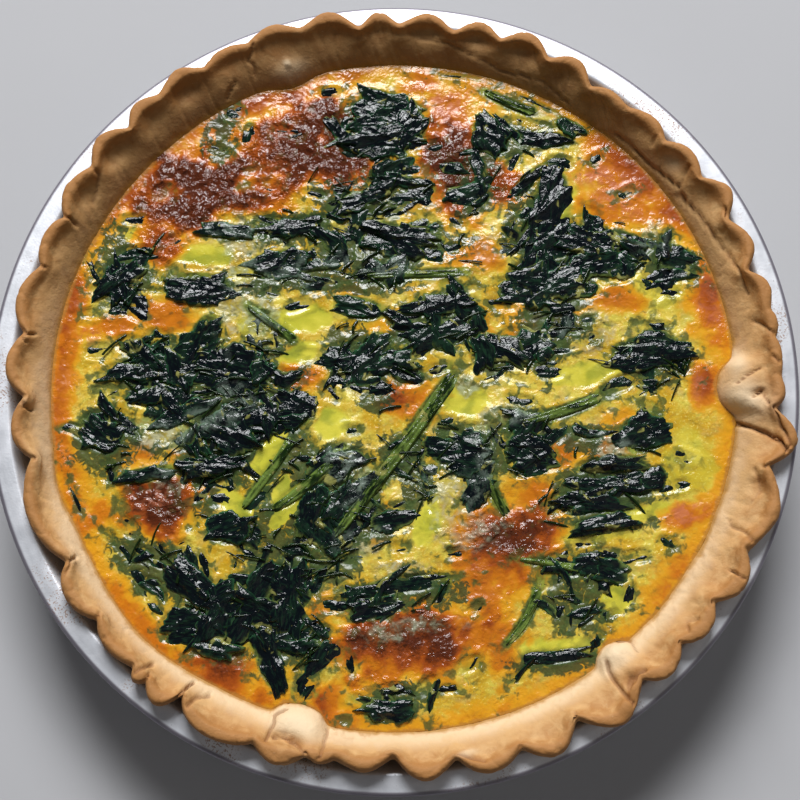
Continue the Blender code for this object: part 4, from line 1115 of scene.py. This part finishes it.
def custard_material():
    """Yellow egg custard, browned cheese, pale cheese skin, green stain and painted highlight specks."""
    bench = Bench("baked_custard")
    step, tint, noise, value = bench.step, bench.tint, bench.noise, bench.value
    fine, medium = noise(0.7, 3.0), noise(2.6, 4.0, twist=0.6)
    mottle, wide = step(0.38, 0.62, medium), step(0.36, 0.62, noise(8.0, 4.0))
    scorched, cheesy, near = value("scorched"), value("cheesy"), value("near")
    uneven = medium - 0.5
    pool = step(0.15, 0.85, value("pool") + uneven * 0.4)
    wisp = step(0.52, 0.66, noise(7.0, 1.0)) * pool
    filmed = step(0.50, 0.68, noise(6.0, 5.0, twist=0.5)) * (1.0 - pool)
    rind = value("rind") * (1.0 - pool)
    heat = value("toasted") + scorched * 1.15 + rind * 0.55 + uneven * 0.55
    brim = step(0.35, 0.75, value("brim") + uneven * 0.8)
    dark = step(1.15, 1.75, heat + (fine - 0.5) * 0.5)
    cheese = step(0.15, 0.75, cheesy * 0.8 + uneven)
    stain = value("stain") * (1.0 - scorched * 0.8) * (1.0 - pool * 0.5)
    thicket = value("thicket") * (1.0 - scorched * 0.7) * (1.0 - pool * 0.9)
    sunk = step(0.50, 0.62, noise(2.4, 5.0, twist=1.2) * 0.8 + thicket * 0.27)
    shreds = step(0.62, 0.76, noise(3.2, 4.0, twist=0.4) + near * 0.16) * step(0.15, 0.6, near)
    colour = bench.coats(
        tint(wide, (0.55, 0.34, 0.020), (0.65, 0.53, 0.07)),
        (mottle * 0.4, (0.66, 0.32, 0.012)),
        # Pale yellow specks painted on as highlights
        (step(0.54, 0.70, fine) * 0.45, (0.95, 0.82, 0.20)),
        (pool * 0.9, tint(wide, (0.50, 0.50, 0.045), (0.66, 0.60, 0.06))),
        (wisp * 0.6, (0.22, 0.27, 0.03)),
        (filmed * 0.28, tint(mottle, (0.26, 0.25, 0.09), (0.60, 0.58, 0.28))),
        (step(0.12, 0.50, heat), (0.68, 0.32, 0.014)),
        (step(0.45, 0.85, heat), (0.56, 0.17, 0.008)),
        (step(0.80, 1.25, heat), (0.34, 0.070, 0.008)),
        (brim * 0.75, (0.40, 0.18, 0.035)),
        (dark, (0.095, 0.020, 0.006)),
        (value("blushed") * mottle * 0.8, (0.55, 0.17, 0.08)),
        (cheese * 0.75, tint(mottle, (0.15, 0.15, 0.06), (0.40, 0.45, 0.31))),
        (step(0.25, 0.95, stain + uneven) * 0.9, tint(mottle, (0.018, 0.048, 0.014), (0.20, 0.26, 0.035))),
        (sunk * step(0.1, 0.5, thicket) * 0.9, tint(fine, (0.008, 0.020, 0.012), (0.05, 0.10, 0.030))),
        (shreds * (1.0 - scorched * 0.8) * (1.0 - pool * 0.7) * 0.85,
         tint(fine, (0.015, 0.035, 0.014), (0.10, 0.15, 0.035))),
    )
    glinting = step(0.45, 0.60, noise(7.0, 3.0))
    height = noise(1.0, 2.0) * (0.12 + glinting * 0.35 + scorched * 0.2) + noise(2.4, 1.0, twist=0.5) * 0.7
    height = height * (0.42 + scorched * 0.55 + cheesy * 0.5 - pool * 0.3)
    roughness = 0.175 + wide * 0.12 - pool * 0.07 - scorched * 0.05
    return bench.finish(colour, roughness, bench.bump(height, 1.1), IOR=1.45, Specular_IOR_Level=0.42)


def spinach_material(name, deep, lit, edge, streaked):
    """Wet cooked leaf, blue-black where thick, green where thin, dulled by melted cheese."""
    bench = Bench(name)
    step, tint, noise, value = bench.step, bench.tint, bench.noise, bench.value
    along, across, tone, thin = [value(key) for key in ("along", "across", "tone", "thin")]
    grained = bench.wire("ShaderNodeCombineXYZ", {}, {0: along * 0.30, 1: across * 1.1, 2: tone * 40.0})
    fibres = noise(0.75, 3.0, grained, twist=0.4)
    fine, patchy = noise(0.5, 2.0), noise(3.4, 3.0)
    rim = step(0.30, 0.95, thin + (patchy - 0.5) * 1.2)
    drowned = step(0.30, 0.85, value("sunk") + (patchy - 0.5) * 0.8)
    film = value("film") * step(0.42, 0.62, patchy * 0.7 + fine * 0.3)
    lap = step(0.64, 0.71, noise(4.2, 4.0, twist=0.6) + thin * 0.08)
    colour = bench.coats(
        tint(step(0.45, 0.70, patchy * 0.55 + fibres * 0.3 + tone * 0.15), deep, lit),
        (step(0.50, 0.66, fibres) * streaked, edge),
        (rim * (0.4 + tone * 0.6), edge),
        (drowned * 0.8, tint(fine, (0.035, 0.075, 0.02), (0.19, 0.225, 0.045))),
        (film * 0.6, (0.28, 0.35, 0.28)),
        (lap * 0.85, tint(patchy, (0.10, 0.13, 0.03), (0.46, 0.42, 0.12))),
    )
    height = fibres * (0.17 + streaked * 0.4) + noise(2.2, 2.0, twist=1.0) * 0.55
    roughness = 0.065 + step(0.35, 0.65, patchy) * 0.13
    return bench.finish(colour, roughness, bench.bump(height, 0.55), IOR=1.4, Specular_IOR_Level=0.4)


def pastry_material():
    """Dry pastry, cream low on the wall, tan above, browned on its ridge and outside, with painted light on
    the wall that faces the lamp and painted shade on the far wall, in scoops, creases and hollows.
    """
    bench = Bench("baked_pastry")
    step, tint, noise, value = bench.step, bench.tint, bench.noise, bench.value
    fine, medium, broad = noise(0.7, 4.0), noise(3.0, 4.0, twist=0.5), noise(12.0, 4.0)
    uneven = medium - 0.5
    blotchy = step(0.32, 0.68, medium * 0.5 + broad * 0.5)
    # Cream low on the wall, partly pale pastry, partly painted light on the wall facing the lamp
    cream_and_painted_light = step(0.15, 0.95, value("cream_and_painted_light") + uneven * 0.5 + (broad - 0.5) * 0.5)
    # Browned ridge and outside, with hollows painted darker as shade
    browned = step(0.0, 0.95, value("toast_and_hollow_shade") + uneven * 0.9 + (broad - 0.5) * 0.9)
    # The scoops are darkened as painted shade
    scoop_shade = value("painted_scoop_shade") * step(0.3, 0.7, medium)
    soaked = step(0.1, 0.9, value("soaked") + uneven * 0.9)
    colour = bench.coats(
        tint(blotchy, (0.62, 0.37, 0.155), (0.50, 0.255, 0.085)),
        (cream_and_painted_light * 0.85, (0.80, 0.60, 0.37)),
        # Far wall darker: partly toasting, partly painted shade
        (value("far_wall_toast_and_shade") * 0.8, tint(blotchy, (0.34, 0.178, 0.058), (0.21, 0.097, 0.027))),
        (browned * 0.85, (0.39, 0.170, 0.046)),
        (scoop_shade * 0.35, (0.36, 0.17, 0.05)),
        (value("pale") * 0.85, (0.80, 0.62, 0.40)),
        (soaked * 0.85, (0.40, 0.19, 0.025)),
        # Darker in the cracks and creases: painted shade
        (step(0.15, 0.9, value("crease_cut_and_shade")) * 0.6, (0.22, 0.09, 0.03)),
        (step(0.60, 0.78, fine) * 0.16, (0.74, 0.56, 0.36)),
    )
    height = fine * 0.25 + medium * 0.45 - step(0.1, 0.0, bench.cells(1.7)) * 0.15
    return bench.finish(colour, 0.62 + fine * 0.2, bench.bump(height, 0.45), IOR=1.4)


def tin_material():
    """Dull grey tinplate with fine dark specks, rust spots and a dark rolled edge."""
    bench = Bench("tin_sheet")
    step = bench.step
    fine, broad, clouding = bench.noise(0.6, 3.0), bench.noise(22.0, 3.0), bench.noise(5.0, 4.0)
    specks = step(0.66, 0.72, fine) * step(0.45, 0.65, clouding)
    rust = step(0.54, 0.64, fine) * step(0.54, 0.64, broad)
    parts = bench.add("ShaderNodeSeparateXYZ", {}, {0: bench.place}).outputs
    x, y = Wire(bench, parts[0]), Wire(bench, parts[1])
    rolled = step(TIN_RADIUS - 1.6, TIN_RADIUS - 0.9, (x * x + y * y) ** 0.5)
    colour = bench.coats(
        bench.tint(step(0.3, 0.7, broad * 0.5 + clouding * 0.5), (0.62, 0.64, 0.68), (0.80, 0.82, 0.86)),
        (specks * 0.55, (0.20, 0.20, 0.22)),
        (rust * 0.75, (0.30, 0.14, 0.06)),
        (rolled * 0.8, (0.14, 0.115, 0.15)),
    )
    normal = bench.bump(fine * 0.3 + clouding * 0.2, 0.12)
    return bench.finish(colour, 0.34 + clouding * 0.16, normal, Metallic=0.5 - specks * 0.3 - rust * 0.3)


def floor_material():
    bench = Bench("plain_floor")
    grain = bench.noise(30.0, 2.0)
    colour = bench.tint(grain * 0.3, (0.47, 0.47, 0.48), (0.43, 0.43, 0.44))
    return bench.finish(colour, 0.9, bench.bump(grain, 0.05), Specular_IOR_Level=0.05)


# Light and camera

def add_light(name, place, size, power, colour):
    """Oblong window of light that looks at the pie."""
    light = bpy.data.lights.new(name, "AREA")
    light.shape = "RECTANGLE"
    light.size, light.size_y = size
    light.energy = power
    light.color = colour
    holder = placed(name, light)
    holder.location = Vector(place) * MM
    holder.rotation_euler = (Vector(LIGHT_TARGET) - Vector(place)).to_track_quat("-Z", "Y").to_euler()


def set_light():
    for row in LIGHTS:
        add_light(*row)
    world = bpy.data.worlds.new("studio")
    world.use_nodes = True
    background = world.node_tree.nodes["Background"].inputs
    background["Color"].default_value = ROOM_TINT
    background["Strength"].default_value = ROOM_STRENGTH
    bpy.context.scene.world = world
    bpy.context.scene.view_settings.view_transform = "Standard"


def camera_axes():
    """The camera's right, up and back directions and its place in millimetres."""
    lean, turn = math.radians(CAMERA_LEAN), math.radians(CAMERA_TURN)
    back = Vector((math.sin(turn) * math.sin(lean), -math.cos(turn) * math.sin(lean), math.cos(lean)))
    right = Vector((0.0, 1.0, 0.0)).cross(back).normalized()
    return right, back.cross(right), back, Vector(CAMERA_TARGET) + back * CAMERA_DISTANCE


def set_camera():
    camera = bpy.data.cameras.new("photo_view")
    camera.lens = CAMERA_LENS
    camera.sensor_width = CAMERA_SENSOR
    camera.clip_start = CAMERA_NEAR
    holder = placed("photo_view", camera)
    right, up, back, place = camera_axes()
    holder.location = place * MM
    holder.rotation_euler = Matrix((right, up, back)).transposed().to_euler()
    bpy.context.scene.camera = holder


def add_floor():
    bpy.ops.mesh.primitive_plane_add(size=FLOOR_SIZE, location=(0.0, 0.0, 0.0))
    floor = bpy.context.object
    floor.name = "floor"
    floor.data.materials.append(floor_material())


def main():
    set_camera()
    set_light()
    add_floor()
    dress(make_tin(), "tin_sheet", tin_material(), "pie_tin")
    dress(make_crust(), "baked_pastry", pastry_material(), "crust")
    leaf_finish = spinach_material("spinach_green", *LEAF_LOOK)
    stem_finish = spinach_material("stem_green", *STEM_LOOK)
    rows = {"flecks": [(*row, 0.0) for row in FLECKS], "bits": [(*row, 0.0) for row in BITS]}
    for name, *draws in THICKET_DRAWS:
        rows[name] = thicket_rows(*draws)
    large = [row for kind_rows in SPINACH.values() for row in kind_rows]
    small = [row for strewn in rows.values() for row in strewn]
    dress(make_filling(large, small), "baked_custard", custard_material(), "filling")
    seed = SPINACH_SEED
    for kind, kind_rows in SPINACH.items():
        for number, row in enumerate(kind_rows, 1):
            if kind == "stem":
                slot, finish, patch = "stem_green", stem_finish, stem_patch(row, seed, STEM_SPACING)
            else:
                slot, finish = "spinach_green", leaf_finish
                lift = LEAF_LIFTS[(seed - SPINACH_SEED) % len(LEAF_LIFTS)]
                patch = leaf_patch(row, seed, LEAF_SPACING, LEAF_GROWTH, lift)
            piece = joined_piece(f"wet_{kind}_{number:02d}", [patch])
            dress(piece, slot, finish, f"spinach_{kind}_{number:02d}")
            seed += 1
    for name, seed, spacing, grow, height, low, climb, drown, more in STREWN_PIECES:
        patches = [leaf_patch(row, seed + i, spacing, grow, low + climb * (i % 5), height,
                              drown + more * (i % 4)) for i, row in enumerate(rows[name])]
        dress(joined_piece(f"spinach_{name}", patches), "spinach_green", leaf_finish)
    dress(strewn_threads(stem_finish), "stem_green", stem_finish)


main()
